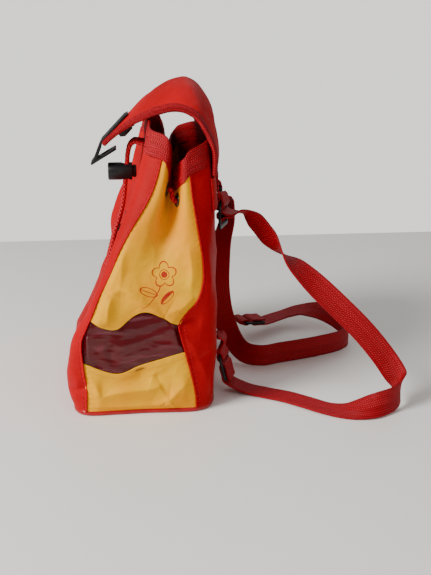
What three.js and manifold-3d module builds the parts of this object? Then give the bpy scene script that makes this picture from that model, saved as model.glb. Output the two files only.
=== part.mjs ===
// A small child's drawstring rucksack, standing on its base with its shoulder straps trailing behind.
// Millimetres, +Z up, front towards -Y, the wearer's right side towards +X.
// The origin is the centre of the underside of the base.
import * as THREE from 'three';
import { mergeVertices } from 'three/addons/utils/BufferGeometryUtils.js';
import Module from 'manifold-3d';

const wasm = await Module();
wasm.setup();

// ---------------------------------------------------------------- driving dimensions
const BAG_WIDTH = 242;          // side seam to side seam, low down
const BAG_HEIGHT = 292;         // top of the mouth at the middle of the front
const DRAWN_HEIGHT = 292;       // height of the bag that the outline's knots are drawn for
const BASE_BACK = 76;           // back edge of the base
const BASE_FRONT = -72;         // front edge of the base
const CLOTH = 1.6;              // a panel with its lining and seam allowance
const FILM = 1.0;               // clear PVC film of the side windows
const GAP = 0.3;                // between pieces that touch
const MOUTH_BAND = 20;          // webbing sewn round the mouth
const PIPING = 3.6;             // diameter of the cord piped into the base seam
const BASE_CLOTH = 2;           // thickness of the base panel
const STIFFENER = 2.5;          // plastic board inside the base
const FOLD_DEPTH = 46;          // how far a side folds in at the mouth
const CORD = 5;                 // diameter of the drawstring
const EYELET_BORE = 8;          // hole of an eyelet
const EYELET_FLANGE = 14;       // outside of an eyelet
const STRAP_WIDTH = 25;
const STRAP_THICK = 1.5;
const FLAP_BINDING = 10;        // webbing folded over the flap's edge
const HINGE_DROP = 54;          // the seam that the flap turns about, below the mouth
const LOCK_LENGTH = 28;         // strap adjuster, along the strap
const LOCK_SIDE = 2.7;          // side bars
const LOCK_PLAY = 0.8;          // beside the strap in a slot
const LOCK_THICK = 2.6;
const LOCK_BAR = 4;
const TOGGLE_LENGTH = 26;       // barrel of the cord lock
const TOGGLE_DIAMETER = 19;
const TOGGLE_BORE = 14.4;
const TOGGLE_PRESS = 4;         // travel of its button
const CLASP_WIDTH = 26;

// ---------------------------------------------------------------- finishes
const finish = (color, roughness, metalness = 0) =>
  new THREE.MeshStandardMaterial({ color, roughness, metalness });
const redNylon = finish(0xc41420, 0.6);
const yellowNylon = finish(0xf5b500, 0.6);
const redWebbing = finish(0xb81420, 0.75);
const film = finish(0x7a1420, 0.15);
const liningRed = finish(0x9c1620, 0.7);
const redVinyl = finish(0x7c1018, 0.3);
const blackPlastic = finish(0x0c0c0e, 0.4);
const darkMetal = finish(0x3a3430, 0.4, 0.8);
const springSteel = finish(0x9a9a9a, 0.35, 1);
const greyBoard = finish(0x55565a, 0.7);

const bag = new THREE.Group();

function add(name, geometry, material, parent = bag) {
  const mesh = new THREE.Mesh(geometry, material);
  mesh.name = name;
  parent.add(mesh);
  return mesh;
}

// ---------------------------------------------------------------- geometry helpers
const vec = (x, y, z) => new THREE.Vector3(x, y, z);
const stepped = (from, to, count) => Array.from({ length: count + 1 }, (_, i) => from + (to - from) * i / count);

// A smooth curve through [position, value] pairs, read at any position.
function profile(pairs) {
  return (at) => {
    let i = 1;
    while (i < pairs.length - 1 && at > pairs[i][0]) i++;
    const [p0, v0] = pairs[i - 1];
    const [p1, v1] = pairs[i];
    const before = pairs[i - 2] ?? pairs[i - 1];
    const after = pairs[i + 1] ?? pairs[i];
    const span = p1 - p0;
    const slope0 = span * (v1 - before[1]) / Math.max(p1 - before[0], 1e-6);
    const slope1 = span * (after[1] - v0) / Math.max(after[0] - p0, 1e-6);
    const t = THREE.MathUtils.clamp((at - p0) / span, 0, 1);
    const a = 2 * v0 - 2 * v1 + slope0 + slope1;
    const b = -3 * v0 + 3 * v1 - 2 * slope0 - slope1;
    return ((a * t + b) * t + slope0) * t + v0;
  };
}

function fromFaces(points, faces) {
  const geometry = new THREE.BufferGeometry();
  const flat = points.flatMap((p) => [p.x, p.y, p.z]);
  geometry.setAttribute('position', new THREE.Float32BufferAttribute(flat, 3));
  geometry.setIndex(faces.flat());
  return facingOut(geometry);
}

function signedVolume(geometry) {
  const p = geometry.attributes.position;
  const index = geometry.index.array;
  const a = vec(0, 0, 0);
  const b = vec(0, 0, 0);
  const c = vec(0, 0, 0);
  let sum = 0;
  for (let i = 0; i < index.length; i += 3) {
    a.fromBufferAttribute(p, index[i]);
    b.fromBufferAttribute(p, index[i + 1]);
    c.fromBufferAttribute(p, index[i + 2]);
    sum += a.dot(b.cross(c)) / 6;
  }
  return sum;
}

function facingOut(geometry) {
  if (signedVolume(geometry) < 0) {
    const index = geometry.index.array;
    for (let i = 0; i < index.length; i += 3) {
      [index[i], index[i + 1]] = [index[i + 1], index[i]];
    }
  }
  return geometry;
}

// A closed body through rings of equal count, capped at both ends, or joined end to end. Each four-sided
// face is split along one diagonal, and along the other one on the sides listed in turned.
function loft(rings, closed = false, turned = []) {
  const sides = rings[0].length;
  const points = rings.flat();
  const faces = [];
  const last = closed ? rings.length : rings.length - 1;
  for (let r = 0; r < last; r++) {
    const next = (r + 1) % rings.length;
    for (let s = 0; s < sides; s++) {
      const t = (s + 1) % sides;
      const [a, b, c, d] = [r * sides + s, r * sides + t, next * sides + t, next * sides + s];
      if (turned.includes(s)) faces.push([a, b, d], [b, c, d]);
      else faces.push([a, b, c], [a, c, d]);
    }
  }
  if (!closed) {
    const end = (rings.length - 1) * sides;
    for (let s = 1; s < sides - 1; s++) {
      faces.push([0, s + 1, s]);
      faces.push([end, end + s, end + s + 1]);
    }
  }
  return fromFaces(points, faces);
}

// A thin closed body between an outer grid of points and the same grid set back by a wall.
function sheet(outer, inner) {
  const rows = outer.length;
  const columns = outer[0].length;
  const count = rows * columns;
  const points = [...outer.flat(), ...inner.flat()];
  const at = (r, c) => r * columns + c;
  const faces = [];
  for (let r = 0; r < rows - 1; r++) {
    for (let c = 0; c < columns - 1; c++) {
      const [p, q, s, t] = [at(r, c), at(r, c + 1), at(r + 1, c + 1), at(r + 1, c)];
      faces.push([p, q, s], [p, s, t]);
      faces.push([p + count, s + count, q + count], [p + count, t + count, s + count]);
    }
  }
  const rim = [];
  for (let c = 0; c < columns - 1; c++) rim.push([at(0, c + 1), at(0, c)]);
  for (let r = 0; r < rows - 1; r++) rim.push([at(r, 0), at(r + 1, 0)]);
  for (let c = 0; c < columns - 1; c++) rim.push([at(rows - 1, c), at(rows - 1, c + 1)]);
  for (let r = 0; r < rows - 1; r++) rim.push([at(r + 1, columns - 1), at(r, columns - 1)]);
  for (const [p, q] of rim) faces.push([p, q, q + count], [p, q + count, p + count]);
  return fromFaces(points, faces);
}

function solid(geometry) {
  const bare = geometry.clone();
  bare.deleteAttribute('normal');
  bare.deleteAttribute('uv');
  const merged = mergeVertices(bare, 1e-4);
  const mesh = new wasm.Mesh({
    numProp: 3,
    vertProperties: new Float32Array(merged.attributes.position.array),
    triVerts: new Uint32Array(merged.index.array),
  });
  return new wasm.Manifold(mesh);
}

function geometryOf(manifold) {
  const mesh = manifold.getMesh();
  const geometry = new THREE.BufferGeometry();
  geometry.setAttribute('position', new THREE.Float32BufferAttribute(mesh.vertProperties, 3));
  geometry.setIndex([...mesh.triVerts]);
  return geometry;
}

function cut(geometry, ...tools) {
  let result = solid(geometry);
  for (const tool of tools) result = result.subtract(solid(tool));
  return geometryOf(result);
}

function join(geometry, ...others) {
  let result = solid(geometry);
  for (const other of others) result = result.add(solid(other));
  return geometryOf(result);
}

// A rod of given radius and length, centred on a point, along a direction.
function rod(radius, length, centre, direction, sides = 16) {
  const geometry = new THREE.CylinderGeometry(radius, radius, length, sides);
  const turn = new THREE.Quaternion().setFromUnitVectors(vec(0, 1, 0), direction.clone().normalize());
  geometry.applyQuaternion(turn);
  geometry.translate(centre.x, centre.y, centre.z);
  return geometry;
}

function brick(sizeX, sizeY, sizeZ, centre) {
  const geometry = new THREE.BoxGeometry(sizeX, sizeY, sizeZ);
  geometry.translate(centre.x, centre.y, centre.z);
  return geometry;
}

// A round cord along hand-chosen points.
function cordAlong(points, diameter, steps) {
  const path = new THREE.CatmullRomCurve3(points.map((p) => vec(...p)), false, 'centripetal');
  const section = new THREE.Shape();
  const sides = 8;
  for (let i = 0; i < sides; i++) {
    const angle = 2 * Math.PI * i / sides;
    const x = diameter / 2 * Math.cos(angle);
    const y = diameter / 2 * Math.sin(angle);
    if (i === 0) section.moveTo(x, y);
    else section.lineTo(x, y);
  }
  section.closePath();
  return new THREE.ExtrudeGeometry(section, { steps, extrudePath: path, bevelEnabled: false });
}

// Flat webbing along stations [x, y, z, wx, wy, wz]: a point, and the direction of the width there.
// Where it turns on its edge it gathers, so that its inner edge doesn't run back over itself.
const GATHER = 0.8;
function webbing(stations, steps, width = STRAP_WIDTH, thick = STRAP_THICK) {
  const path = new THREE.CatmullRomCurve3(stations.map((s) => vec(s[0], s[1], s[2])), false, 'centripetal');
  const spans = stations.length - 1;
  const along = stepped(0, 1, steps).map((t) => {
    const k = Math.min(Math.floor(t * spans), spans - 1);
    const [a, b] = [stations[k], stations[k + 1]];
    const tangent = path.getTangent(t);
    const across = vec(a[3], a[4], a[5]).lerp(vec(b[3], b[4], b[5]), t * spans - k);
    across.addScaledVector(tangent, -across.dot(tangent)).normalize();
    return { centre: path.getPoint(t), tangent, across };
  });
  const edgeBend = along.map(({ across }, i) => {
    const before = along[Math.max(i - 1, 0)];
    const after = along[Math.min(i + 1, steps)];
    const run = after.centre.distanceTo(before.centre);
    return Math.abs(after.tangent.clone().sub(before.tangent).dot(across)) / Math.max(run, 0.1);
  });
  const rings = along.map(({ centre, tangent, across }, i) => {
    const sharpest = Math.max(...edgeBend.slice(Math.max(i - 2, 0), i + 3));
    const reach = Math.min(width / 2, GATHER / Math.max(sharpest, 1e-6));
    const normal = tangent.clone().cross(across);
    return [[1, 1], [-1, 1], [-1, -1], [1, -1]].map(([w, n]) =>
      centre.clone().addScaledVector(across, w * reach).addScaledVector(normal, n * thick / 2));
  });
  return loft(rings, false, [2]);
}

// A coil spring along +Z from the origin.
function coil(radius, wire, height, turns) {
  const steps = turns * 10;
  const rings = [];
  for (let i = 0; i <= steps; i++) {
    const angle = 2 * Math.PI * i / 10;
    const out = vec(Math.cos(angle), Math.sin(angle), 0);
    const centre = out.clone().multiplyScalar(radius);
    centre.z = wire / 2 + (height - wire) * i / steps;
    const ring = [];
    for (let s = 0; s < 5; s++) {
      const a = 2 * Math.PI * s / 5;
      ring.push(centre.clone().addScaledVector(out, wire / 2 * Math.cos(a)).add(vec(0, 0, wire / 2 * Math.sin(a))));
    }
    rings.push(ring);
  }
  return loft(rings);
}

// ---------------------------------------------------------------- the bag's outer surface
// Each height has an outline through eleven stations from the middle of the front (0) round the
// right side to the middle of the back (10), and its mirror image on the left.
const FRONT_SEAM = 3;
const FRONT_FOLD = 4;
const VALLEY = 5;
const BACK_FOLD = 6;
const BACK_SEAM = 7;
const BACK_MIDDLE = 10;

const half = BAG_WIDTH / 2;
const halfWidth = profile([[0, half - 1], [50, half], [95, half], [128, half - 4], [170, half - 9],
  [224, half - 15], [258, half - 19], [DRAWN_HEIGHT, half - 22]]);
const frontMiddle = profile([[0, BASE_FRONT], [25, -76], [42, -73], [67, -58], [97, -44], [120, -34],
  [145, -21], [165, -14], [195, -3.5], [209, 0], [228, 3], [250, 7], [DRAWN_HEIGHT, 12]]);
const frontCorner = profile([[0, BASE_FRONT + 2], [23, -76], [52, -76], [81, -71], [107, -56], [133, -44],
  [160, -33], [189, -21], [228, -4], [267, 8], [DRAWN_HEIGHT, 13]]);
const frontSeam = profile([[0, -61], [30, -60], [52, -62], [80, -63], [95, -57], [107, -51], [128, -42],
  [146, -33], [170, -22], [188, -12], [224, 10], [258, 21], [DRAWN_HEIGHT, 26]]);
const frontFold = profile([[0, -28], [100, -28], [136, -18], [166, -5], [195, 9], [224, 20], [258, 27],
  [DRAWN_HEIGHT, 31]]);
const backFold = profile([[0, 26], [65, 18], [95, 14], [120, 30], [168, 42], [190, 43], [224, 43],
  [258, 43], [DRAWN_HEIGHT, 43]]);
const backSeam = profile([[0, 53], [20, 52], [45, 47], [65, 42], [95, 36], [107, 44], [118, 54], [136, 60],
  [160, 60], [181, 57], [207, 53], [228, 50], [258, 49], [DRAWN_HEIGHT, 49]]);
const backCorner = profile([[0, BASE_BACK - 9], [50, 69], [90, 70], [160, 69], [218, 70], [262, 65],
  [DRAWN_HEIGHT, 62]]);
const backMiddle = profile([[0, BASE_BACK], [50, 79], [150, 80], [200, 80], [250, 79], [DRAWN_HEIGHT, 76]]);
const foldDepth = profile([[0, 0], [128, 0], [150, 3], [170, 9], [190, 19], [210, 30], [235, 41],
  [258, FOLD_DEPTH], [DRAWN_HEIGHT, FOLD_DEPTH + 2]]);

// A taller bag is longer in its lower half; all above that moves up with the mouth.
const GROWS_FROM = 20;
const GROWS_TO = 150;
const RISE = BAG_HEIGHT - DRAWN_HEIGHT;
const GROWTH = 1 + RISE / (GROWS_TO - GROWS_FROM);
const HINGE_Z = BAG_HEIGHT - HINGE_DROP;
function drawnHeight(z) {
  if (z <= GROWS_FROM) return z;
  return z >= GROWS_TO + RISE ? z - RISE : GROWS_FROM + (z - GROWS_FROM) / GROWTH;
}
function builtHeight(z) {
  if (z <= GROWS_FROM) return z;
  return z >= GROWS_TO ? z + RISE : GROWS_FROM + (z - GROWS_FROM) * GROWTH;
}

const outlines = new Map();
// The front's left corner is slack and falls back further than its right one:
// how far, at each height, and its share at the stations from the first one on.
const slack = profile([[0, 0], [23, 3], [58, 22], [79, 30], [110, 24], [134, 12], [150, 4], [165, 0], [224, 0],
  [DRAWN_HEIGHT, 0]]);
const SLACK_SHARES = [0, 1, 0.95, 0.5];

function outlineAt(height) {
  const key = height.toFixed(3);
  if (!outlines.has(key)) {
    const z = drawnHeight(height);
    const w = halfWidth(z);
    const [yf, yb] = [frontFold(z), backFold(z)];
    const right = [
      [0, frontMiddle(z)],
      [w * 0.52, (frontMiddle(z) * 4 + frontCorner(z)) / 5],
      [w - 11, frontCorner(z)],
      [w, frontSeam(z)],
      [w + 1, yf],
      [w - foldDepth(z), (yf + yb) / 2],
      [w + 1, yb],
      [w, backSeam(z)],
      [w - 11, backCorner(z)],
      [w * 0.52, (backMiddle(z) * 3 + backCorner(z)) / 4],
      [0, backMiddle(z)],
    ];
    const left = right.slice(1, -1).map(([x, y], i) => [-x, y + slack(z) * (SLACK_SHARES[i] ?? 0)]).reverse();
    const points = [...right, ...left].map(([x, y]) => vec(x, y, 0));
    outlines.set(key, new THREE.CatmullRomCurve3(points, true, 'centripetal'));
  }
  return outlines.get(key);
}

// The heights of the seams at each station: foot of the walls, window's lower and upper edges, mouth.
const stationCurve = (values) => profile(values.map((v, i) => [i, v]));
const builtCurve = (values) => stationCurve(values.map(builtHeight));
const WALL_FOOT = PIPING + GAP;
const windowLow = builtCurve([52, 52, 54, 55, 43, 50, 58, 64, 62, 60, 60]);
const windowHigh = builtCurve([100, 102, 106, 105, 95, 112, 106, 97, 102, 104, 105]);
const mouthDrop = stationCurve([0, 3, 7, 11, 18, 49, 34, 26, 20, 17, 17]);
const mouth = (s) => BAG_HEIGHT - mouthDrop(s);

// Level 0 is the foot, 1 and 2 the window's edges, 3 the lower edge of the mouth band, 4 the mouth.
function heightAt(s, level) {
  const round = Math.abs(s) % (2 * BACK_MIDDLE);
  const a = Math.min(round, 2 * BACK_MIDDLE - round);
  const marks = [WALL_FOOT, windowLow(a), windowHigh(a), mouth(a) - MOUTH_BAND, mouth(a)];
  const k = Math.min(Math.floor(level), 3);
  return marks[k] + (marks[k + 1] - marks[k]) * (level - k);
}

// The level at a given height.
function levelAt(s, z) {
  let [low, high] = [0, 4];
  for (let i = 0; i < 40; i++) {
    const middle = (low + high) / 2;
    if (heightAt(s, middle) < z) low = middle;
    else high = middle;
  }
  return low;
}

function wallPoint(s, level) {
  const z = heightAt(s, level);
  const turn = (s / (2 * BACK_MIDDLE) + 1) % 1;
  const p = outlineAt(z).getPoint(turn);
  return vec(p.x, p.y, z);
}

function wallNormal(s, level) {
  const step = 0.02;
  const along = wallPoint(s + step, level).sub(wallPoint(s - step, level));
  const up = wallPoint(s, Math.min(level + step, 4)).sub(wallPoint(s, Math.max(level - step, 0)));
  return along.cross(up).normalize();
}

const LOWER_LEVELS = stepped(0, 1, 2);
const WINDOW_LEVELS = stepped(1, 2, 2);
const UPPER_LEVELS = stepped(2, 3, 8);
const BAND_LEVELS = stepped(3, 4, 2);
const FULL_LEVELS = [...LOWER_LEVELS, ...WINDOW_LEVELS.slice(1), ...UPPER_LEVELS.slice(1)];

// A panel of the wall between stations and levels. Its edges stand back by half a gap from the seams,
// and it may lie deeper than the surface by an inset.
function panel(stations, levels, thick = CLOTH, inset = 0) {
  const grid = (depth) => levels.map((level) => stations.map((s) =>
    wallPoint(s, level).addScaledVector(wallNormal(s, level), -depth)));
  const trim = (rows) => {
    const towards = (from, to) => from.addScaledVector(to.clone().sub(from).normalize(), GAP / 2);
    for (const row of rows) {
      towards(row[0], row[1]);
      towards(row[row.length - 1], row[row.length - 2]);
    }
    const last = rows.length - 1;
    rows[0].forEach((p, c) => towards(p, rows[1][c]));
    rows[last].forEach((p, c) => towards(p, rows[last - 1][c]));
    return rows;
  };
  return sheet(trim(grid(inset)), trim(grid(inset + thick)));
}

const stationRange = (from, to, each) => stepped(from, to, Math.round((to - from) * each));

// ---------------------------------------------------------------- base
// The base's outline, set in from the foot of the walls.
function basePlan(inset, height, bottom) {
  const shape = new THREE.Shape();
  const count = 56;
  for (let i = 0; i < count; i++) {
    const s = 2 * BACK_MIDDLE * i / count;
    const n = wallNormal(s, 0).setZ(0).normalize();
    const p = wallPoint(s, 0).addScaledVector(n, -inset);
    if (i === 0) shape.moveTo(p.x, p.y);
    else shape.lineTo(p.x, p.y);
  }
  shape.closePath();
  const geometry = new THREE.ExtrudeGeometry(shape, { depth: height, bevelEnabled: false });
  return geometry.translate(0, 0, bottom);
}

function basePiping() {
  const count = 56;
  const sides = 8;
  const rings = stepped(0, 2 * BACK_MIDDLE, count).slice(0, -1).map((s) => {
    const n = wallNormal(s, 0).setZ(0).normalize();
    const centre = wallPoint(s, 0).addScaledVector(n, -PIPING / 2).setZ(PIPING / 2);
    return stepped(0, 2 * Math.PI, sides).slice(0, -1).map((turn) => {
      const a = turn + Math.PI / sides;
      const r = PIPING / 2 / Math.cos(Math.PI / sides);
      return centre.clone().addScaledVector(n, r * Math.cos(a)).add(vec(0, 0, r * Math.sin(a)));
    });
  });
  return loft(rings, true);
}

add('base_panel', basePlan(PIPING + GAP, BASE_CLOTH, 0), redNylon);
add('base_stiffener', basePlan(PIPING + 2 * GAP, STIFFENER, BASE_CLOTH + GAP), greyBoard);
add('base_piping', basePiping(), redVinyl);

// ---------------------------------------------------------------- places on the wall
function placeOnWall(s, level) {
  const normal = wallNormal(s, level);
  const middle = wallPoint(s, level).addScaledVector(normal, -CLOTH / 2);
  return { normal, middle };
}

const EYELET_INSET = 0.46;       // stations in from a fold, on its hidden side
const FRONT_EYELET_DROP = 10.3;  // below the mouth band
const SIDE_EYELET_DROP = 13;
const placeBelowBand = (s, drop) => placeOnWall(s, levelAt(s, heightAt(s, 3) - drop));
const eyelets = {
  eyelet_front_right: placeBelowBand(0.27, FRONT_EYELET_DROP),
  eyelet_front_left: placeBelowBand(-0.27, FRONT_EYELET_DROP),
  eyelet_side_front_right: placeBelowBand(FRONT_FOLD + EYELET_INSET, SIDE_EYELET_DROP),
  eyelet_side_back_right: placeBelowBand(BACK_FOLD - EYELET_INSET, SIDE_EYELET_DROP),
  eyelet_side_front_left: placeBelowBand(-FRONT_FOLD - EYELET_INSET, SIDE_EYELET_DROP),
  eyelet_side_back_left: placeBelowBand(-BACK_FOLD + EYELET_INSET, SIDE_EYELET_DROP),
};
const EYELET_BARREL = 1;         // wall of the tube between its flanges
const EYELET_SEAT = 0.85;        // flange stands off the curved cloth
const EYELET_RIM = 1;            // thickness of a flange

function eyeletHole(place) {
  return rod(EYELET_BORE / 2 + EYELET_BARREL + GAP, 12, place.middle, place.normal);
}

function eyeletRing(place) {
  const bore = EYELET_BORE / 2;
  const barrel = bore + EYELET_BARREL;
  const flange = EYELET_FLANGE / 2;
  const inner = CLOTH / 2 + EYELET_SEAT;
  const outer = inner + EYELET_RIM;
  const section = [[bore, -outer], [flange - 0.4, -outer], [flange, -inner], [barrel, -inner], [barrel, inner],
    [flange, inner], [flange - 0.4, outer], [bore, outer], [bore, -outer]];
  const geometry = new THREE.LatheGeometry(section.map(([x, y]) => new THREE.Vector2(x, y)), 12);
  geometry.applyQuaternion(new THREE.Quaternion().setFromUnitVectors(vec(0, 1, 0), place.normal));
  return geometry.translate(place.middle.x, place.middle.y, place.middle.z);
}


// ---------------------------------------------------------------- clasp lock on the front panel
// Its frame: origin on the cloth, u across, d down the panel, n out of the panel.
const CLASP_DROP = 124.9;        // its middle, below the mouth
const claspLevel = levelAt(0, BAG_HEIGHT - CLASP_DROP);
const claspSpot = { origin: wallPoint(0, claspLevel), n: wallNormal(0, claspLevel) };
const CLASP_HEIGHT = 30;
const CLASP_THICK = 6.5;
const CLASP_BACK = 1.6;          // plate inside the bag
const CLASP_POST = 1.8;          // radius of the posts through the cloth
const CLASP_POST_AT = 9;         // posts from the middle
const CLASP_SEAT = 0.45;         // stands off the slightly hollow cloth
const CLASP_BUTTON = 4.5;        // radius of its push button
const CLASP_RUNNING = 0.25;      // clearance round the button

function placeOnFront(geometry) {
  const turn = new THREE.Matrix4().makeBasis(vec(1, 0, 0), claspSpot.n,
    vec(1, 0, 0).cross(claspSpot.n));
  geometry.applyMatrix4(turn);
  return geometry.translate(claspSpot.origin.x, claspSpot.origin.y, claspSpot.origin.z);
}

// Posts of the inner plate: holes through the cloth, blind holes in the lock's back.
const claspPostHoles = [-1, 1].map((side) =>
  placeOnFront(rod(CLASP_POST + GAP, 6, vec(side * CLASP_POST_AT, 0, 0), vec(0, 1, 0))));

// ---------------------------------------------------------------- walls of the bag
const sideStations = stationRange(FRONT_SEAM, BACK_SEAM, 3);
const leftOf = (stations) => stations.map((s) => -s).reverse();

const frontCloth = panel(stationRange(-FRONT_SEAM, FRONT_SEAM, 3), FULL_LEVELS);
add('front_panel', cut(frontCloth, eyeletHole(eyelets.eyelet_front_right), eyeletHole(eyelets.eyelet_front_left),
  ...claspPostHoles), redNylon);
add('back_panel', panel(stationRange(BACK_SEAM, 2 * BACK_MIDDLE - BACK_SEAM, 3), FULL_LEVELS), redNylon);

for (const [side, stations] of [['right', sideStations], ['left', leftOf(sideStations)]]) {
  const holes = ['side_front_', 'side_back_'].map((n) => eyeletHole(eyelets[`eyelet_${n}${side}`]));
  add(`side_upper_${side}`, cut(panel(stations, UPPER_LEVELS), ...holes), yellowNylon);
  add(`side_lower_${side}`, panel(stations, LOWER_LEVELS), yellowNylon);
  add(`window_film_${side}`, panel(stations, WINDOW_LEVELS, FILM), film);
  add(`window_lining_${side}`, panel(stations, WINDOW_LEVELS, CLOTH, FILM + GAP), liningRed);
}

// The webbing round the mouth is one closed ring. Its lower edge stands up off the cloth's.
const BAND_LIFT = 3.4;
function mouthBand() {
  const stations = stepped(0, 2 * BACK_MIDDLE, 60).slice(0, -1);
  const rings = stations.map((s) => {
    const skin = (depth) => BAND_LEVELS.map((level, i) => {
      const p = wallPoint(s, level).addScaledVector(wallNormal(s, level), -depth);
      if (i === 0) p.z += BAND_LIFT;
      return p;
    });
    return [...skin(-0.3), ...skin(CLOTH).reverse()];
  });
  return loft(rings, true);
}
add('mouth_webbing', mouthBand(), redWebbing);

for (const [name, place] of Object.entries(eyelets)) add(name, eyeletRing(place), darkMetal);

// ---------------------------------------------------------------- layers sewn on the back
// A layer over the back between two heights, standing off the cloth.
function backLayer(from, to, low, high, standOff, thick) {
  const stations = stationRange(from, to, 3);
  const rows = stepped(low, high, 3);
  const skin = (offset) => rows.map((z) => stations.map((s) => {
    const level = levelAt(s, z);
    return wallPoint(s, level).addScaledVector(wallNormal(s, level), offset);
  }));
  return sheet(skin(standOff + thick), skin(standOff));
}

const HEM_LOW = HINGE_Z - 33;
const YOKE_LOW = HINGE_Z - 24;
const YOKE_HIGH = HINGE_Z - 2;
add('flap_hem', backLayer(8, 12, HEM_LOW, HINGE_Z - 1.2, GAP, CLOTH), redNylon);
const yokeStandOff = GAP + CLOTH + GAP;
add('yoke_webbing', backLayer(8.7, 11.3, YOKE_LOW, YOKE_HIGH, yokeStandOff, STRAP_THICK), redWebbing);

// ---------------------------------------------------------------- flap
// Middle line and side edge of the flap from its seam (0) over the crest (4) to its tip (9). Heights are
// above the seam, and the width runs from FLAP_ROOT at the seam to FLAP_POINT at the tip.
const flapCurve = (values) => profile(values.map((v, i) => [i, v]));
const FLAP_TIP = 9;
const flapMiddle = {
  y: flapCurve([82.2, 83.6, 84, 79, 62, 38, 13, -10, -24, -37]),
  z: flapCurve([0, 16, 42, 68, 89, 90, 76, 52, 38, 24]),
};
const flapEdge = {
  y: flapCurve([73.5, 74.5, 73, 66, 56, 38, 12, -10, -24, -37]),
  z: flapCurve([0, 14, 28, 43, 57, 63, 56, 44, 34, 22]),
};
const FLAP_MARGIN = 10.3;        // in from the bag's corners
const FLAP_POINT = 17;
const flapRoot = halfWidth(DRAWN_HEIGHT - HINGE_DROP) - FLAP_MARGIN;
const flapTaper = flapCurve([1, 0.994, 0.974, 0.922, 0.844, 0.688, 0.481, 0.221, 0.065, 0]);
const flapHalfWidth = (t) => FLAP_POINT + (flapRoot - FLAP_POINT) * flapTaper(t);

function flapPoint(t, q) {
  const k = q * q;
  const y = flapMiddle.y(t) * (1 - k) + flapEdge.y(t) * k;
  const z = HINGE_Z + flapMiddle.z(t) * (1 - k) + flapEdge.z(t) * k;
  return vec(q * flapHalfWidth(t), y, z);
}

function flapNormal(t, q) {
  const e = 0.03;
  const along = flapPoint(Math.min(t + e, FLAP_TIP), q).sub(flapPoint(Math.max(t - e, 0), q));
  const across = flapPoint(t, q + e).sub(flapPoint(t, q - e));
  return along.cross(across).normalize();
}

// A strip of the flap between two bounds across it, each a share of the half width at any row.
function flapStrip(boundA, boundB, steps, outside, inside) {
  const rows = stepped(0, FLAP_TIP, 18);
  const skin = (depth) => rows.map((t) => stepped(boundA(t), boundB(t), steps)
    .map((q) => flapPoint(t, q).addScaledVector(flapNormal(t, q), -depth)));
  return sheet(skin(outside), skin(inside));
}
const BINDING_GAP = 0.5;         // the cloth's edge inside the binding
const bindingEdge = (t, gap) => 1 - (FLAP_BINDING + gap) / flapHalfWidth(t);

// The clasp's frame at the flap's tip: a runs down the flap, n stands out of it.
const claspOrigin = flapPoint(7, 0);
const claspDown = flapPoint(9, 0).sub(claspOrigin).normalize();
const claspOut = vec(1, 0, 0).cross(claspDown).negate();
function placeOnFlap(geometry) {
  const turn = new THREE.Matrix4().makeBasis(claspDown, claspOut, claspDown.clone().cross(claspOut));
  geometry.applyMatrix4(turn);
  return geometry.translate(claspOrigin.x, claspOrigin.y, claspOrigin.z);
}
function moulding(outline, width) {
  const shape = new THREE.Shape(outline.map(([a, n]) => new THREE.Vector2(a, n)));
  return new THREE.ExtrudeGeometry(shape, { depth: width, bevelEnabled: false }).translate(0, 0, -width / 2);
}

const CLASP_PIN = 1.5;           // radius of the pins through the flap
const claspPinsAt = [-7, 7];
const claspPin = (radius, from, to, side) => rod(radius, to - from, vec(11, (from + to) / 2, side), vec(0, 1, 0));
const tongueOutline = [[-2, 0.9], [-2, 2], [2, 3.2], [37, 3.2], [43, 1.4], [58, -4.6], [63.5, -5.3],
  [64, -7], [34, -15.2], [33.4, -13.2], [55, -6.8], [42, -1.6], [39.8, 0.9]];
const bladeHole = rod(6.2, 12, vec(44, -11, 0), vec(0, 1, 0), 24);
const tongue = cut(moulding(tongueOutline, CLASP_WIDTH), bladeHole,
  ...claspPinsAt.map((side) => claspPin(CLASP_PIN + GAP, 0, 2, side)));
const backOutline = [[2, -2.9], [20, -2.6], [21, -9], [17, -12.5], [6, -12.5], [4.4, -11], [2.4, -12], [0.4, -11],
  [1.8, -9.2], [-1, -8.4], [-0.6, -6.6], [2, -6.2]];
const claspBack = join(moulding(backOutline, CLASP_WIDTH - 2),
  ...claspPinsAt.map((side) => claspPin(CLASP_PIN, -4, 1.7, side)));

const flapBody = flapStrip((t) => -bindingEdge(t, BINDING_GAP), (t) => bindingEdge(t, BINDING_GAP), 10, 0, CLOTH);
const flapHoles = claspPinsAt.map((side) => placeOnFlap(claspPin(CLASP_PIN + GAP, -4, 2, side)));
add('flap_cloth', cut(flapBody, ...flapHoles), redNylon);
add('flap_binding_right', flapStrip((t) => bindingEdge(t, 0), () => 1, 2, -0.5, CLOTH + 0.5), redWebbing);
add('flap_binding_left', flapStrip(() => -1, (t) => -bindingEdge(t, 0), 2, -0.5, CLOTH + 0.5), redWebbing);
add('clasp_tongue', placeOnFlap(tongue), blackPlastic);
add('clasp_back_plate', placeOnFlap(claspBack), blackPlastic);

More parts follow.
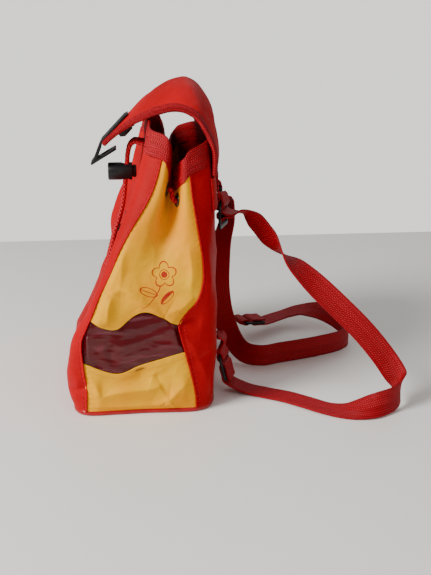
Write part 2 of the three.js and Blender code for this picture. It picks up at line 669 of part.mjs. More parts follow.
// ---------------------------------------------------------------- clasp lock on the front panel
// Its frame: u across, n out of the cloth, d down the panel.
const CLASP_BASE_WIDTH = 32;
const slotLow = CLASP_SEAT + 2;
const SLOT = 3.2;
const claspTop = CLASP_SEAT + CLASP_THICK;
const claspBase = cut(
  brick(CLASP_BASE_WIDTH, CLASP_THICK, CLASP_HEIGHT, vec(0, CLASP_SEAT + CLASP_THICK / 2, 0)),
  brick(CLASP_WIDTH + 1.2, SLOT, CLASP_HEIGHT, vec(0, slotLow + SLOT / 2, -4)),
  rod(CLASP_BUTTON + CLASP_RUNNING, 8, vec(0, claspTop, 2), vec(0, 1, 0), 24),
  rod(4, 2.4, vec(0, slotLow, 2), vec(0, 1, 0), 24),
  ...[-1, 1].map((side) => rod(CLASP_POST + GAP, 3, vec(side * CLASP_POST_AT, CLASP_SEAT, 0), vec(0, 1, 0))));
add('clasp_base', placeOnFront(claspBase), blackPlastic);
const claspButton = join(
  rod(CLASP_BUTTON, 4.3, vec(0, slotLow + SLOT - 0.55 + 2.15, 2), vec(0, 1, 0), 24),
  rod(CLASP_BUTTON + 1.2, 0.9, vec(0, slotLow + SLOT - 0.75, 2), vec(0, 1, 0), 24));
add('clasp_button', placeOnFront(claspButton), blackPlastic);
const claspSpring = coil(2.8, 0.5, 3.0, 3).rotateX(-Math.PI / 2).translate(0, slotLow - 1.05, 2);
add('clasp_spring', placeOnFront(claspSpring), springSteel);
const claspInner = join(
  brick(26, CLASP_BACK, 22, vec(0, -CLOTH - GAP - 0.4 - CLASP_BACK / 2, 0)),
  ...[-1, 1].map((side) => rod(CLASP_POST, 4.2, vec(side * CLASP_POST_AT, -0.7, 0), vec(0, 1, 0))));
add('clasp_inner_plate', placeOnFront(claspInner), blackPlastic);

// ---------------------------------------------------------------- cord lock on the drawstring
const TOGGLE_Y = -13.5;          // the cords pass through here
const TOGGLE_Z = BAG_HEIGHT - 61.5;
const TOGGLE_MOUTH = TOGGLE_Y + 7;
const TOGGLE_WALL = 4;           // closed end of the barrel
const cordSlot = (low, high) => brick(2 * CORD + 1.2, high - low, 2 * TOGGLE_DIAMETER,
  vec(0, (low + high) / 2, TOGGLE_Z));
const barrelRadius = TOGGLE_DIAMETER / 2;
const barrelEnd = TOGGLE_MOUTH - TOGGLE_LENGTH;
const barrelSection = [[0, barrelEnd], [barrelRadius - 1.2, barrelEnd], [barrelRadius, barrelEnd + 1.2],
  [barrelRadius, TOGGLE_MOUTH - 0.8], [barrelRadius - 0.8, TOGGLE_MOUTH], [TOGGLE_BORE / 2, TOGGLE_MOUTH],
  [TOGGLE_BORE / 2, barrelEnd + TOGGLE_WALL], [0, barrelEnd + TOGGLE_WALL]];
const lathe = (section, sides = 24) =>
  new THREE.LatheGeometry(section.map(([x, y]) => new THREE.Vector2(x, y)), sides);
const barrel = lathe(barrelSection).translate(0, 0, TOGGLE_Z);
add('cord_lock_barrel', cut(barrel, cordSlot(TOGGLE_Y - 4.5, TOGGLE_Y + 4.5)), blackPlastic);
const plungerRadius = TOGGLE_BORE / 2 - 0.4;
const plungerBack = TOGGLE_Y - 7.5;
const plungerFront = TOGGLE_MOUTH + 4.5;
const plunger = rod(plungerRadius, plungerFront - plungerBack,
  vec(0, (plungerFront + plungerBack) / 2, TOGGLE_Z), vec(0, 1, 0), 24);
add('cord_lock_button', cut(plunger, cordSlot(TOGGLE_Y - 3.6, TOGGLE_Y + 4.8 + TOGGLE_PRESS)), blackPlastic);
const springRoom = plungerBack - barrelEnd - TOGGLE_WALL;
const lockSpring = coil(4.4, 0.8, springRoom - 0.6, 4).rotateX(-Math.PI / 2);
add('cord_lock_spring', lockSpring.translate(0, barrelEnd + TOGGLE_WALL + 0.3, TOGGLE_Z), springSteel);

// ---------------------------------------------------------------- strap adjusters
// A ladder lock's frame: w across the strap, d along it, n = w x d; the origin is on its tab bar.
function ladderLock() {
  const outline = new THREE.Shape();
  const slotHalf = STRAP_WIDTH / 2 + LOCK_PLAY;
  const halfW = slotHalf + LOCK_SIDE;
  const [top, bottom, round] = [-LOCK_BAR / 2, LOCK_LENGTH - LOCK_BAR / 2, 2.5];
  outline.moveTo(-halfW + round, top);
  outline.lineTo(halfW - round, top);
  outline.quadraticCurveTo(halfW, top, halfW, top + round);
  outline.lineTo(halfW, bottom - round);
  outline.quadraticCurveTo(halfW, bottom, halfW - round, bottom);
  outline.lineTo(-halfW + round, bottom);
  outline.quadraticCurveTo(-halfW, bottom, -halfW, bottom - round);
  outline.lineTo(-halfW, top + round);
  outline.quadraticCurveTo(-halfW, top, -halfW + round, top);
  for (const start of [LOCK_BAR / 2, LOCK_BAR / 2 + 3 * LOCK_BAR]) {
    const end = start + 2 * LOCK_BAR;
    const slot = new THREE.Path();
    slot.moveTo(-slotHalf, start);
    slot.lineTo(-slotHalf, end);
    slot.lineTo(slotHalf, end);
    slot.lineTo(slotHalf, start);
    slot.closePath();
    outline.holes.push(slot);
  }
  return new THREE.ExtrudeGeometry(outline, { depth: LOCK_THICK, bevelEnabled: false, curveSegments: 4 })
    .translate(0, 0, -LOCK_THICK / 2);
}

function lockFrame(origin, across, down) {
  const d = vec(...down).normalize();
  const w = vec(...across);
  w.addScaledVector(d, -w.dot(d)).normalize();
  return { o: vec(...origin), w, d, n: w.clone().cross(d) };
}
const mirrored = ([x, y, z]) => [-x, y, z];

// How far back the wall is at a given place across it.
function backAt(x, z) {
  let [low, high] = [BACK_SEAM, BACK_MIDDLE];
  for (let i = 0; i < 40; i++) {
    const middle = (low + high) / 2;
    if (wallPoint(middle, levelAt(middle, z)).x > Math.abs(x)) low = middle;
    else high = middle;
  }
  return wallPoint(low, levelAt(low, z)).y;
}
const TOP_LOCK_X = 44;
const TOP_LOCK_Z = HINGE_Z - 35;
const TOP_LOCK_OFF = 5.8;        // its outer end, off the back
const TOP_LOCK_SLANT = 0.34;     // the two locks turn outwards
const topLockY = backAt(TOP_LOCK_X + STRAP_WIDTH / 2, TOP_LOCK_Z) + TOP_LOCK_OFF
  + TOP_LOCK_SLANT * STRAP_WIDTH / 2;
const locks = {
  top_right: lockFrame([TOP_LOCK_X, topLockY, TOP_LOCK_Z], [0.94, -TOP_LOCK_SLANT, 0], [0, 0, -1]),
  top_left: lockFrame([-TOP_LOCK_X, topLockY, TOP_LOCK_Z], [0.94, TOP_LOCK_SLANT, 0], [0, 0, -1]),
  bottom_right: lockFrame([66, 85, 41], [0.94, -0.34, 0.05], [0.1, 0.24, -0.96]),
  bottom_left: lockFrame([-98, 127, 22], [0.93, 0.35, 0], [-0.35, 0.93, -0.12]),
};
const lockNames = { top_right: 'adjuster_top_right', top_left: 'adjuster_top_left',
  bottom_right: 'adjuster_bottom_right', bottom_left: 'adjuster_bottom_left' };
for (const [key, frame] of Object.entries(locks)) {
  const turn = new THREE.Matrix4().makeBasis(frame.w, frame.d, frame.n);
  const body = ladderLock().applyMatrix4(turn).translate(frame.o.x, frame.o.y, frame.o.z);
  add(lockNames[key], body, blackPlastic);
}

// A station of webbing given in a lock's frame: d along the strap, n off its face.
const inLock = (frame, d, n) => {
  const p = frame.o.clone().addScaledVector(frame.d, d).addScaledVector(frame.n, n);
  return [p.x, p.y, p.z, frame.w.x, frame.w.y, frame.w.z];
};

// ---------------------------------------------------------------- tabs that hold the adjusters
// A tab is one piece of webbing, folded round the lock's bar, with both ends sewn into the back.
const TAB_PLY = 1.2;             // each ply lies this far from the tab's middle
const TAB_STRAIGHT = 7;          // the tab is in line with its lock from here to the bar
const BAR_TURN = [[-4, 1.9], [-1.5, 2.7], [1.2, 2.8], [3.1, 2.2], [3.8, 0], [3.1, -2.2], [1.2, -2.8],
  [-1.5, -2.7], [-4, -1.9]];
function tab(frame, middle) {
  const centre = [...middle, inLock(frame, -TAB_STRAIGHT, 0)];
  const ply = (side) => centre.map(([x, y, z, ...across], i) => {
    const before = centre[Math.max(i - 1, 0)];
    const after = centre[Math.min(i + 1, centre.length - 1)];
    const tangent = vec(after[0] - before[0], after[1] - before[1], after[2] - before[2]);
    const normal = vec(...across).cross(tangent).normalize();
    const p = vec(x, y, z).addScaledVector(normal, side * TAB_PLY);
    return [p.x, p.y, p.z, ...across];
  });
  return [...ply(1), ...BAR_TURN.map(([d, n]) => inLock(frame, d, n)), ...ply(-1).reverse()];
}
const topTab = (side) => [[side * (TOP_LOCK_X - 1), topLockY - 2.2, YOKE_LOW - GAP, 0.97, side * -0.24, 0]];
const TAB_SEAT = 1.2;            // a tab's end stands this far off the back
const tabStart = (x, z, slope) => TAB_SEAT + Math.max(...[-1, 1].map((edge) =>
  backAt(x + edge * STRAP_WIDTH / 2, z) - edge * STRAP_WIDTH / 2 * slope));
const bottomTabs = {
  right: [[69, tabStart(69, 63, -0.08), 63, 1, -0.08, 0], [69, 83.6, 61.8, 1, -0.12, 0], [66.8, 84.8, 55.4, 0.95, -0.3, 0]],
  left: [[-84, tabStart(-84, 57, 0.2), 57, 1, 0.2, 0], [-85, 89, 52, 0.98, 0.25, 0], [-88, 107, 37, 0.95, 0.3, 0]],
};
for (const [side, sign] of [['right', 1], ['left', -1]]) {
  add(`top_tab_${side}`, webbing(tab(locks[`top_${side}`], topTab(sign)), 26), redWebbing);
  add(`bottom_tab_${side}`, webbing(tab(locks[`bottom_${side}`], bottomTabs[side]), 36), redWebbing);
}

// ---------------------------------------------------------------- shoulder straps
// Each strap is sewn in a loop round the middle bar of its upper adjuster. Its lower end passes through
// the lower adjuster, over the middle bar, and its tail lies back along it.
const SEWN_LOOP = [[13.2, 13], [13.3, 9], [13.9, 5], [15.7, 1.6], [15.9, -1], [14, -3.3], [12, -3.6],
  [10, -3.3], [8.1, -1], [8.3, 1.6], [10.1, 5], [10.9, 9], [10.9, 14]];
const THREADED = [[27, -2.9], [20, -2.9], [13, -3.2], [9.6, -2.6], [8.2, 0], [9.6, 2.6], [13, 3.2],
  [20, 2.9], [28, 3.4]];
const strapRight = [
  ...SEWN_LOOP.map(([d, n]) => inLock(locks.top_right, d, n)),
  [51, 108, 193, 0.85, -0.2, 0.4], [55, 120, 185, 0.6, 0.3, 0.7], [61, 134, 168, 0.7, 0.5, 0.5],
  [69, 148, 152, 1, 0.1, 0], [77, 163, 139, 0.8, -0.3, -0.5], [86, 186, 117, 0.3, -0.6, -0.7],
  [93, 206, 98, 0.1, -0.6, -0.7], [100, 227, 77, 0.1, -0.6, -0.75], [106, 244, 57, 0.1, -0.55, -0.8],
  [112, 257, 39, 0.1, -0.4, -0.9], [120, 264, 26, 0.05, -0.2, -1], [131, 263, 18.5, 0, 0, -1],
  [142, 254, 15, 0.1, 0.05, -1], [149, 238, 12.6, 0.4, 0, -0.9], [149, 219, 8, 0.85, 0, -0.5],
  [143, 203, 4.2, 1, 0, -0.12],
  [131, 186, 2.3, 1, -0.4, 0], [115, 169, 2.2, 1, -0.5, 0], [98, 150, 2.2, 1, -0.4, 0],
  [84, 129, 1.8, 1, -0.35, 0], [74, 110, 3.6, 0.97, -0.3, 0],
  ...THREADED.map(([d, n]) => inLock(locks.bottom_right, d, n)),
];
const strapLeft = [
  ...SEWN_LOOP.map(([d, n]) => inLock(locks.top_left, d, n)),
  [-50, 104, 186, 0.9, 0.3, 0.2], [-50, 103, 165, 0.8, 0.5, 0], [-47, 96, 138, 0.6, 0.7, 0],
  [-46, 93, 112, 0.3, 0.9, 0.1], [-47, 93, 80, 0, 1, 0.1], [-44, 98, 46, 0, 0.9, 0.4],
  [-28, 107, 24, 0.1, 0.6, 0.8], [-6, 119, 14, 0, 0.3, 1], [4, 137, 13.2, 0, 0, 1],
  [-4, 160, 13, 0, 0, 1], [-12, 185, 13, 0, 0, 1], [-22, 211, 13, 0, 0, 1], [-38, 240, 13, 0, 0, 1],
  [-57, 254, 13.5, 0, 0, 1], [-80, 255, 16, -0.2, 0.1, 1], [-104, 248, 20, -0.3, 0.3, 0.9],
  [-126, 232, 22, -0.6, 0.4, 0.6], [-137, 210, 20, -0.9, 0.1, 0.2], [-133, 187, 16, -0.93, -0.35, 0],
  ...THREADED.map(([d, n]) => inLock(locks.bottom_left, d, n)).map((s) => [s[0], s[1], s[2], -s[3], -s[4], -s[5]]),
];
add('shoulder_strap_right', webbing(strapRight, 128), redWebbing);
add('shoulder_strap_left', webbing(strapLeft, 128), redWebbing);

// ---------------------------------------------------------------- drawstring
// From the cord lock it enters at the front, runs inside the mouth, crosses each side fold through
// two eyelets and runs inside the back.
const LOOP_TOP = [2.75, TOGGLE_Y + 0.6, TOGGLE_Z + 0.2];
const through = (place, from, to) => [from, to].map((k) =>
  place.middle.clone().addScaledVector(place.normal, k).toArray());
const halfLoop = [
  LOOP_TOP, [2.8, TOGGLE_Y + 1.8, TOGGLE_Z + 10], [3.6, TOGGLE_Y + 2.6, 249], [6.5, -8, 259], [10.5, -3, 263],
  ...through(eyelets.eyelet_front_right, 5, -5), [22, 20, 258], [38, 22, 248], [60, 21, 236], [78, 17.5, 228],
  ...through(eyelets.eyelet_side_front_right, -6, 5), ...through(eyelets.eyelet_side_back_right, 5, -6),
  [84, 54, 226], [66, 64, 233], [40, 70, 240], [14, 72, 243],
];
const otherHalf = halfLoop.map(mirrored).reverse();
add('drawstring_loop', cordAlong([...halfLoop, ...otherHalf], CORD, 68), redWebbing);
const tail = [[2.75, TOGGLE_Y + 0.4, TOGGLE_Z - 0.2], [2.8, TOGGLE_Y - 0.8, 220], [2.9, TOGGLE_Y - 3.8, 197],
  [4.8, -21.6, 181], [8.2, -27.2, 165], [10, -31, 150], [10.8, -34.5, 137], [11.4, -38.6, 121]];
add('drawstring_tail_right', cordAlong(tail, CORD, 12), redWebbing);
add('drawstring_tail_left', cordAlong(tail.map(mirrored), CORD, 12), redWebbing);

export default bag;
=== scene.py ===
import math

import bmesh
import bpy
import numpy as np
from mathutils import Matrix, Vector, noise


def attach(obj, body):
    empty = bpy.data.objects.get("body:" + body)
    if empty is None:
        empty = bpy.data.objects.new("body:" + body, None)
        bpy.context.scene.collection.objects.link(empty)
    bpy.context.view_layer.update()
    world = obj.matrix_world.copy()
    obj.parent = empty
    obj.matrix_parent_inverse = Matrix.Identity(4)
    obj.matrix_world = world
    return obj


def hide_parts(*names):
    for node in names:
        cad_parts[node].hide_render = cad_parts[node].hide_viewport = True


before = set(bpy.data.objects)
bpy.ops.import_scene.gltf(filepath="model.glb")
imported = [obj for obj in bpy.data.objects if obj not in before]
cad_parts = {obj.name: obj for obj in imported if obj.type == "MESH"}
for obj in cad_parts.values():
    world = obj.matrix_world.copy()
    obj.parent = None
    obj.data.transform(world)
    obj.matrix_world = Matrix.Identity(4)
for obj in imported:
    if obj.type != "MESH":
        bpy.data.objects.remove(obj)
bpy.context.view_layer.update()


# ---------------------------------------------------------------- view
# The rucksack is seen from its right side, a little from above, so that
# the yellow side panel with its film window faces the viewer.
SENSOR = 36.0                   # mm, the long side
VIEW_LENS = 56.35               # mm
VIEW_PLACE = (0.970, -0.013, 0.394)
VIEW_PITCH = math.radians(17)
VIEW_YAW = math.radians(5.7)

camera = bpy.data.objects.new("camera", bpy.data.cameras.new("camera"))
bpy.context.scene.collection.objects.link(camera)
aim = Vector((-math.cos(VIEW_YAW) * math.cos(VIEW_PITCH),
              math.sin(VIEW_YAW) * math.cos(VIEW_PITCH),
              -math.sin(VIEW_PITCH)))
camera.location = VIEW_PLACE
camera.rotation_euler = aim.to_track_quat("-Z", "Y").to_euler()
camera.data.sensor_width = SENSOR
camera.data.lens = VIEW_LENS
bpy.context.scene.camera = camera


# ---------------------------------------------------------------- base piping
# A cord covered with glossy dark red vinyl, piped into the seam between
# the base and the walls. It runs once round the bag and carries its weight.
MM = 0.001
PIPING_HIGH = 5.4
PIPING_WIDE = 4.2
PIPING_SIDES = 20
PIPING_STEPS = 420
RED_VINYL = (0.30, 0.0, 0.003, 1)


def smooth_profile(pairs):
    """A smooth curve through (position, value) pairs, read at an array of positions."""
    at, value = (np.array(column, float) for column in zip(*pairs))

    def read(x):
        x = np.asarray(x, float)
        i = np.clip(np.searchsorted(at, x), 1, len(at) - 1)
        before, after = np.maximum(i - 2, 0), np.minimum(i + 1, len(at) - 1)
        p0, p1, v0, v1 = at[i - 1], at[i], value[i - 1], value[i]
        span = p1 - p0
        slope0 = span * (v1 - value[before]) / np.maximum(p1 - at[before], 1e-6)
        slope1 = span * (value[after] - v0) / np.maximum(at[after] - p0, 1e-6)
        t = np.clip((x - p0) / span, 0, 1)
        a = 2 * v0 - 2 * v1 + slope0 + slope1
        b = -3 * v0 + 3 * v1 - 2 * slope0 - slope1
        return ((a * t + b) * t + slope0) * t + v0

    return read


def curve_between(p0, p1, p2, p3, t):
    """Points on the smooth curve from p1 to p2, with their neighbours p0 and p3."""
    d0, d1, d2 = (np.sum((b - a) ** 2, axis=-1, keepdims=True) ** 0.25
                  for a, b in ((p0, p1), (p1, p2), (p2, p3)))
    d1 = np.where(d1 < 1e-4, 1, d1)
    d0, d2 = np.where(d0 < 1e-4, d1, d0), np.where(d2 < 1e-4, d1, d2)
    t1 = ((p1 - p0) / d0 - (p2 - p0) / (d0 + d1) + (p2 - p1) / d1) * d1
    t2 = ((p2 - p1) / d1 - (p3 - p1) / (d1 + d2) + (p3 - p2) / d2) * d1
    a = 2 * p1 - 2 * p2 + t1 + t2
    b = -3 * p1 + 3 * p2 - 2 * t1 - t2
    return ((a * t + b) * t + t1) * t + p1


# The walls' outline at each height goes through eleven stations, from the
# middle of the front (0) round the right side to the middle of the back (10).
HALF = 121
STATIONS = 10
MOUTH_Z = 292
WALL_FOOT = 3.9
half_width = smooth_profile([(0, HALF - 1), (50, HALF), (95, HALF), (128, HALF - 4), (170, HALF - 9),
                             (224, HALF - 15), (258, HALF - 19), (292, HALF - 22)])
front_middle = smooth_profile([(0, -72), (25, -76), (42, -73), (67, -58), (97, -44), (120, -34), (145, -21),
                               (165, -14), (195, -3.5), (209, 0), (228, 3), (250, 7), (292, 12)])
front_corner = smooth_profile([(0, -70), (23, -76), (52, -76), (81, -71), (107, -56), (133, -44), (160, -33),
                               (189, -21), (228, -4), (267, 8), (292, 13)])
front_seam = smooth_profile([(0, -61), (30, -60), (52, -62), (80, -63), (95, -57), (107, -51), (128, -42),
                             (146, -33), (170, -22), (188, -12), (224, 10), (258, 21), (292, 26)])
front_fold = smooth_profile([(0, -28), (100, -28), (136, -18), (166, -5), (195, 9), (224, 20), (258, 27),
                             (292, 31)])
back_fold = smooth_profile([(0, 26), (65, 18), (95, 14), (120, 30), (168, 42), (190, 43), (224, 43),
                            (258, 43), (292, 43)])
back_seam = smooth_profile([(0, 53), (20, 52), (45, 47), (65, 42), (95, 36), (107, 44), (118, 54), (136, 60),
                            (160, 60), (181, 57), (207, 53), (228, 50), (258, 49), (292, 49)])
back_corner = smooth_profile([(0, 67), (50, 69), (90, 70), (160, 69), (218, 70), (262, 65), (292, 62)])
back_middle = smooth_profile([(0, 76), (50, 79), (150, 80), (200, 80), (250, 79), (292, 76)])
fold_depth = smooth_profile([(0, 0), (128, 0), (150, 3), (170, 9), (190, 19), (210, 30), (235, 41),
                             (258, 46), (292, 48)])
window_low = smooth_profile(list(enumerate([52, 52, 54, 55, 43, 50, 58, 64, 62, 60, 60])))
window_high = smooth_profile(list(enumerate([100, 102, 106, 105, 95, 112, 106, 97, 102, 104, 105])))
mouth_drop = smooth_profile(list(enumerate([0, 3, 7, 11, 18, 49, 34, 26, 20, 17, 17])))
slack = smooth_profile([(0, 0), (23, 3), (58, 22), (79, 30), (110, 24), (134, 12), (150, 4), (165, 0), (224, 0),
                        (292, 0)])
SLACK_SHARES = (0, 1, 0.95, 0.5)    # at the left side's stations, from the first one on
MOUTH_BAND = 20


def height_at(s, level):
    """Height of a seam level: 0 the foot, 1 and 2 the window's edges, 3 and 4 the mouth band's edges."""
    around = np.mod(np.abs(s), 2 * STATIONS)
    a = np.minimum(around, 2 * STATIONS - around)
    mouth = MOUTH_Z - mouth_drop(a)
    marks = np.array([np.full_like(mouth, WALL_FOOT), window_low(a), window_high(a), mouth - MOUTH_BAND, mouth])
    k = np.clip(np.floor(level).astype(int), 0, 3)
    pick = np.arange(len(mouth))
    return marks[k, pick] + (marks[k + 1, pick] - marks[k, pick]) * (level - k)


def outline_at(z, turn):
    """The point at a share of a turn round the outline at each height."""
    w, fold_front, fold_back = half_width(z), front_fold(z), back_fold(z)
    middle_front, corner_front, corner_back, middle_back = (
        front_middle(z), front_corner(z), back_corner(z), back_middle(z))
    right = [(0 * z, middle_front), (w * 0.52, (middle_front * 4 + corner_front) / 5), (w - 11, corner_front),
             (w, front_seam(z)), (w + 1, fold_front), (w - fold_depth(z), (fold_front + fold_back) / 2),
             (w + 1, fold_back), (w, back_seam(z)), (w - 11, corner_back),
             (w * 0.52, (middle_back * 3 + corner_back) / 4), (0 * z, middle_back)]
    left = [(-x, y + slack(z) * share)
            for (x, y), share in zip(right[1:-1], SLACK_SHARES + (0,) * (STATIONS - 1 - len(SLACK_SHARES)))]
    loop = np.array(right + left[::-1])
    where = np.mod(turn, 1) * 2 * STATIONS
    k = np.floor(where).astype(int)
    pick = np.arange(len(z))
    four = [loop[(k + step) % (2 * STATIONS), :, pick] for step in (-1, 0, 1, 2)]
    return curve_between(*four, (where - k)[:, None])


def wall(s, level):
    """Points of the bag's outer surface, in millimetres."""
    s, level = np.asarray(s, float), np.asarray(level, float)
    z = height_at(s, level)
    return np.column_stack([outline_at(z, s / (2 * STATIONS)), z])


def unit(vectors):
    return vectors / np.maximum(np.linalg.norm(vectors, axis=-1, keepdims=True), 1e-9)


def wall_out(s, level, step=0.02):
    """The directions that the surface faces."""
    round_ = wall(s + step, level) - wall(s - step, level)
    up = wall(s, np.minimum(level + step, 4)) - wall(s, np.maximum(level - step, 0))
    return unit(np.cross(round_, up))


def placed(name, bm, smooth=True):
    """The object of a finished mesh, linked to the scene."""
    for face in bm.faces:
        face.smooth = smooth
    mesh = bpy.data.meshes.new(name)
    bm.to_mesh(mesh)
    bm.free()
    piece = bpy.data.objects.new(name, mesh)
    bpy.context.scene.collection.objects.link(piece)
    return piece


def laid(name, along, across, place, tube=False, ring=False):
    """A mesh grid laid on a surface: place(u, v) gives its points for u along and v across, each 0 to 1.
    A tube closes across itself, and a ring closes along itself. Its UVs are lengths in metres, and its
    attribute edge is the distance from its nearest open edge."""
    bm = bmesh.new()
    bmesh.ops.create_grid(bm, x_segments=along, y_segments=across, size=0.5)
    u, v = (np.array([vertex.co[:2] for vertex in bm.verts]) + 0.5).T
    points = place(u, v) * MM
    column, row = np.rint(u * along).astype(int), np.rint(v * across).astype(int)
    grid = np.zeros((across + 1, along + 1, 3))
    grid[row, column] = points
    run = np.zeros((2, across + 1, along + 1))
    run[0, :, 1:] = np.cumsum(np.linalg.norm(np.diff(grid, axis=1), axis=2), axis=1)
    run[1, 1:, :] = np.cumsum(np.linalg.norm(np.diff(grid, axis=0), axis=2), axis=0)
    edge = np.full(grid.shape[:2], 1.0)
    if not ring:
        edge = np.minimum(edge, np.minimum(run[0], run[0][:, -1:] - run[0]))
    if not tube:
        edge = np.minimum(edge, np.minimum(run[1], run[1][-1:] - run[1]))
    for vertex, point in zip(bm.verts, points):
        vertex.co = point
    mesh = bpy.data.meshes.new(name)
    bm.to_mesh(mesh)
    bm.free()
    corner = np.zeros(len(mesh.loops), int)
    mesh.loops.foreach_get("vertex_index", corner)
    uv = mesh.uv_layers.get("UVMap") or mesh.uv_layers.new(name="UVMap")
    lengths = np.column_stack([run[0][row, column], run[1][row, column]])[corner]
    uv.data.foreach_set("uv", lengths.astype(np.float32).ravel())
    mesh.attributes.new("edge", "FLOAT", "POINT").data.foreach_set("value", edge[row, column].astype(np.float32))
    bm = bmesh.new()
    bm.from_mesh(mesh)
    if tube or ring:
        bmesh.ops.remove_doubles(bm, verts=bm.verts, dist=1e-6)
        if tube and not ring:
            rims = [e for e in bm.edges if e.is_boundary]
            bmesh.ops.holes_fill(bm, edges=rims, sides=0)
        bmesh.ops.recalc_face_normals(bm, faces=bm.faces)
    for face in bm.faces:
        face.smooth = True
    bm.to_mesh(mesh)
    bm.free()
    piece = bpy.data.objects.new(name, mesh)
    bpy.context.scene.collection.objects.link(piece)
    return piece


class Wire:
    """A socket of a material's nodes, which adds, subtracts, multiplies and compares as a number does."""

    def __init__(self, tree, socket=None):
        self.tree, self.socket = tree, socket

    def node(self, kind, settings=None, inputs=None, output=0):
        """Adds a node with its settings and the values or wires of its sockets."""
        made = self.tree.nodes.new(kind)
        for key, value in (settings or {}).items():
            if key == "stops":
                for place, colour in value[1:-1]:
                    made.color_ramp.elements.new(place)
                for element, (place, colour) in zip(made.color_ramp.elements, value):
                    element.position, element.color = place, colour
            else:
                setattr(made, key, value)
        for key, value in (inputs or {}).items():
            if isinstance(value, Wire):
                self.tree.links.new(value.socket, made.inputs[key])
            else:
                made.inputs[key].default_value = value
        return Wire(self.tree, made.outputs[output])

    def maths(self, operation, *values):
        return self.node("ShaderNodeMath", {"operation": operation}, dict(enumerate((self, *values))))

    def __add__(self, other): return self.maths("ADD", other)
    def __sub__(self, other): return self.maths("SUBTRACT", other)
    def __mul__(self, other): return self.maths("MULTIPLY", other)
    def __truediv__(self, other): return self.maths("DIVIDE", other)
    def __lt__(self, other): return self.maths("LESS_THAN", other)
    def __gt__(self, other): return self.maths("GREATER_THAN", other)
    def __rsub__(self, other): return self * -1 + other
    __radd__, __rmul__ = __add__, __mul__

    def sin(self): return self.maths("SINE")
    def cos(self): return self.maths("COSINE")
    def size(self): return self.maths("ABSOLUTE")
    def fraction(self): return self.maths("FRACT")

    def within(self, low, high):
        """Rises smoothly from 0 at low to 1 at high."""
        return self.node("ShaderNodeMapRange", {"interpolation_type": "SMOOTHSTEP"},
                         {"Value": self, "From Min": low, "From Max": high})

    def parts(self):
        split = self.tree.nodes.new("ShaderNodeSeparateXYZ")
        self.tree.links.new(self.socket, split.inputs[0])
        return [Wire(self.tree, s) for s in split.outputs]

    def blend(self, colour_a, colour_b):
        """Goes from one colour to another as this number goes from 0 to 1."""
        return self.node("ShaderNodeMix", {"data_type": "RGBA"}, {0: self, 6: colour_a, 7: colour_b}, 2)

    def cloud(self, scale, detail=2.0, position=None, stretch=None):
        """Smooth noise from 0 to 1, over Object coordinates unless another position is given."""
        where = position or self.node("ShaderNodeTexCoord", output="Object")
        if stretch:
            where = self.node("ShaderNodeMapping", None, {"Vector": where, "Scale": stretch})
        return self.node("ShaderNodeTexNoise", None, {"Vector": where, "Scale": scale, "Detail": detail})


def new_finish(name, **constants):
    """A material, the start of its wires, and a function that joins a wire to its shader."""
    finish = bpy.data.materials.new(name)
    finish.use_nodes = True
    shader = finish.node_tree.nodes["Principled BSDF"]
    for key, value in constants.items():
        shader.inputs[key.replace("_", " ")].default_value = value

    def join(socket, wire):
        finish.node_tree.links.new(wire.socket, shader.inputs[socket])

    return finish, Wire(finish.node_tree), join


def raised(height, distance, strength=1.0, normal=None):
    """A bump from a height that runs from 0 to 1."""
    inputs = {"Height": height, "Distance": distance, "Strength": strength}
    if normal:
        inputs["Normal"] = normal
    return height.node("ShaderNodeBump", None, inputs)


def glossy_vinyl(name, colour):
    """Soft glossy vinyl with uneven colour and a faint ripple."""
    finish, base, join = new_finish(name, IOR=1.5, Specular_IOR_Level=0.3, Coat_Weight=0.3, Coat_Roughness=0.1)
    patches = base.cloud(60, 3)
    join("Base Color", patches.blend(colour, tuple(min(1, c * 1.7) for c in colour[:3]) + (1,)))
    join("Roughness", base.cloud(900, 3) * 0.12 + 0.2)
    join("Normal", raised(base.cloud(420, 3), 0.0004, 0.35))
    return finish


def dress(piece, finish, body, stands_for=()):
    """Gives a piece its material, body and the CAD nodes that it stands for."""
    piece.data.materials.clear()
    piece.data.materials.append(finish)
    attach(piece, body)
    if stands_for:
        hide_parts(*stands_for)
    return piece


def wandering(points, size, seed=0.0):
    """Smooth noise from -1 to 1 at an array of points."""
    return np.array([noise.noise(Vector(p) / size + Vector((seed, seed * 2, 3.1))) for p in points])


def piping_surface(u, v):
    s = u * 2 * STATIONS
    foot = wall(s, 0 * s)
    out = wall_out(s, 0 * s)
    out[:, 2] = 0
    out = unit(out)
    turn = 2 * math.pi * v
    swell = 1 + 0.05 * wandering(foot, 17, 2.0)
    points = foot + out * ((np.cos(turn) * PIPING_WIDE / 2 - 0.9) * swell)[:, None]
    points[:, 2] = PIPING_HIGH / 2 + np.sin(turn) * PIPING_HIGH / 2 * np.minimum(swell, 1)
    return points


red_vinyl = glossy_vinyl("red vinyl", RED_VINYL)
piping = laid("piping", PIPING_STEPS, PIPING_SIDES, piping_surface, tube=True, ring=True)
dress(piping, red_vinyl, "bag", ["base_piping"])


# ---------------------------------------------------------------- base
# A red nylon panel with a grey plastic board inside it, so that the bag
# stands. Both are flat sheets cut to the shape of the seam.
RED_NYLON = (0.52, 0.0, 0.006, 1)
RED_SHADE = (0.36, 0.0, 0.003, 1)
BOARD_GREY = (0.09, 0.09, 0.1, 1)
THREAD_PITCH = 0.00055


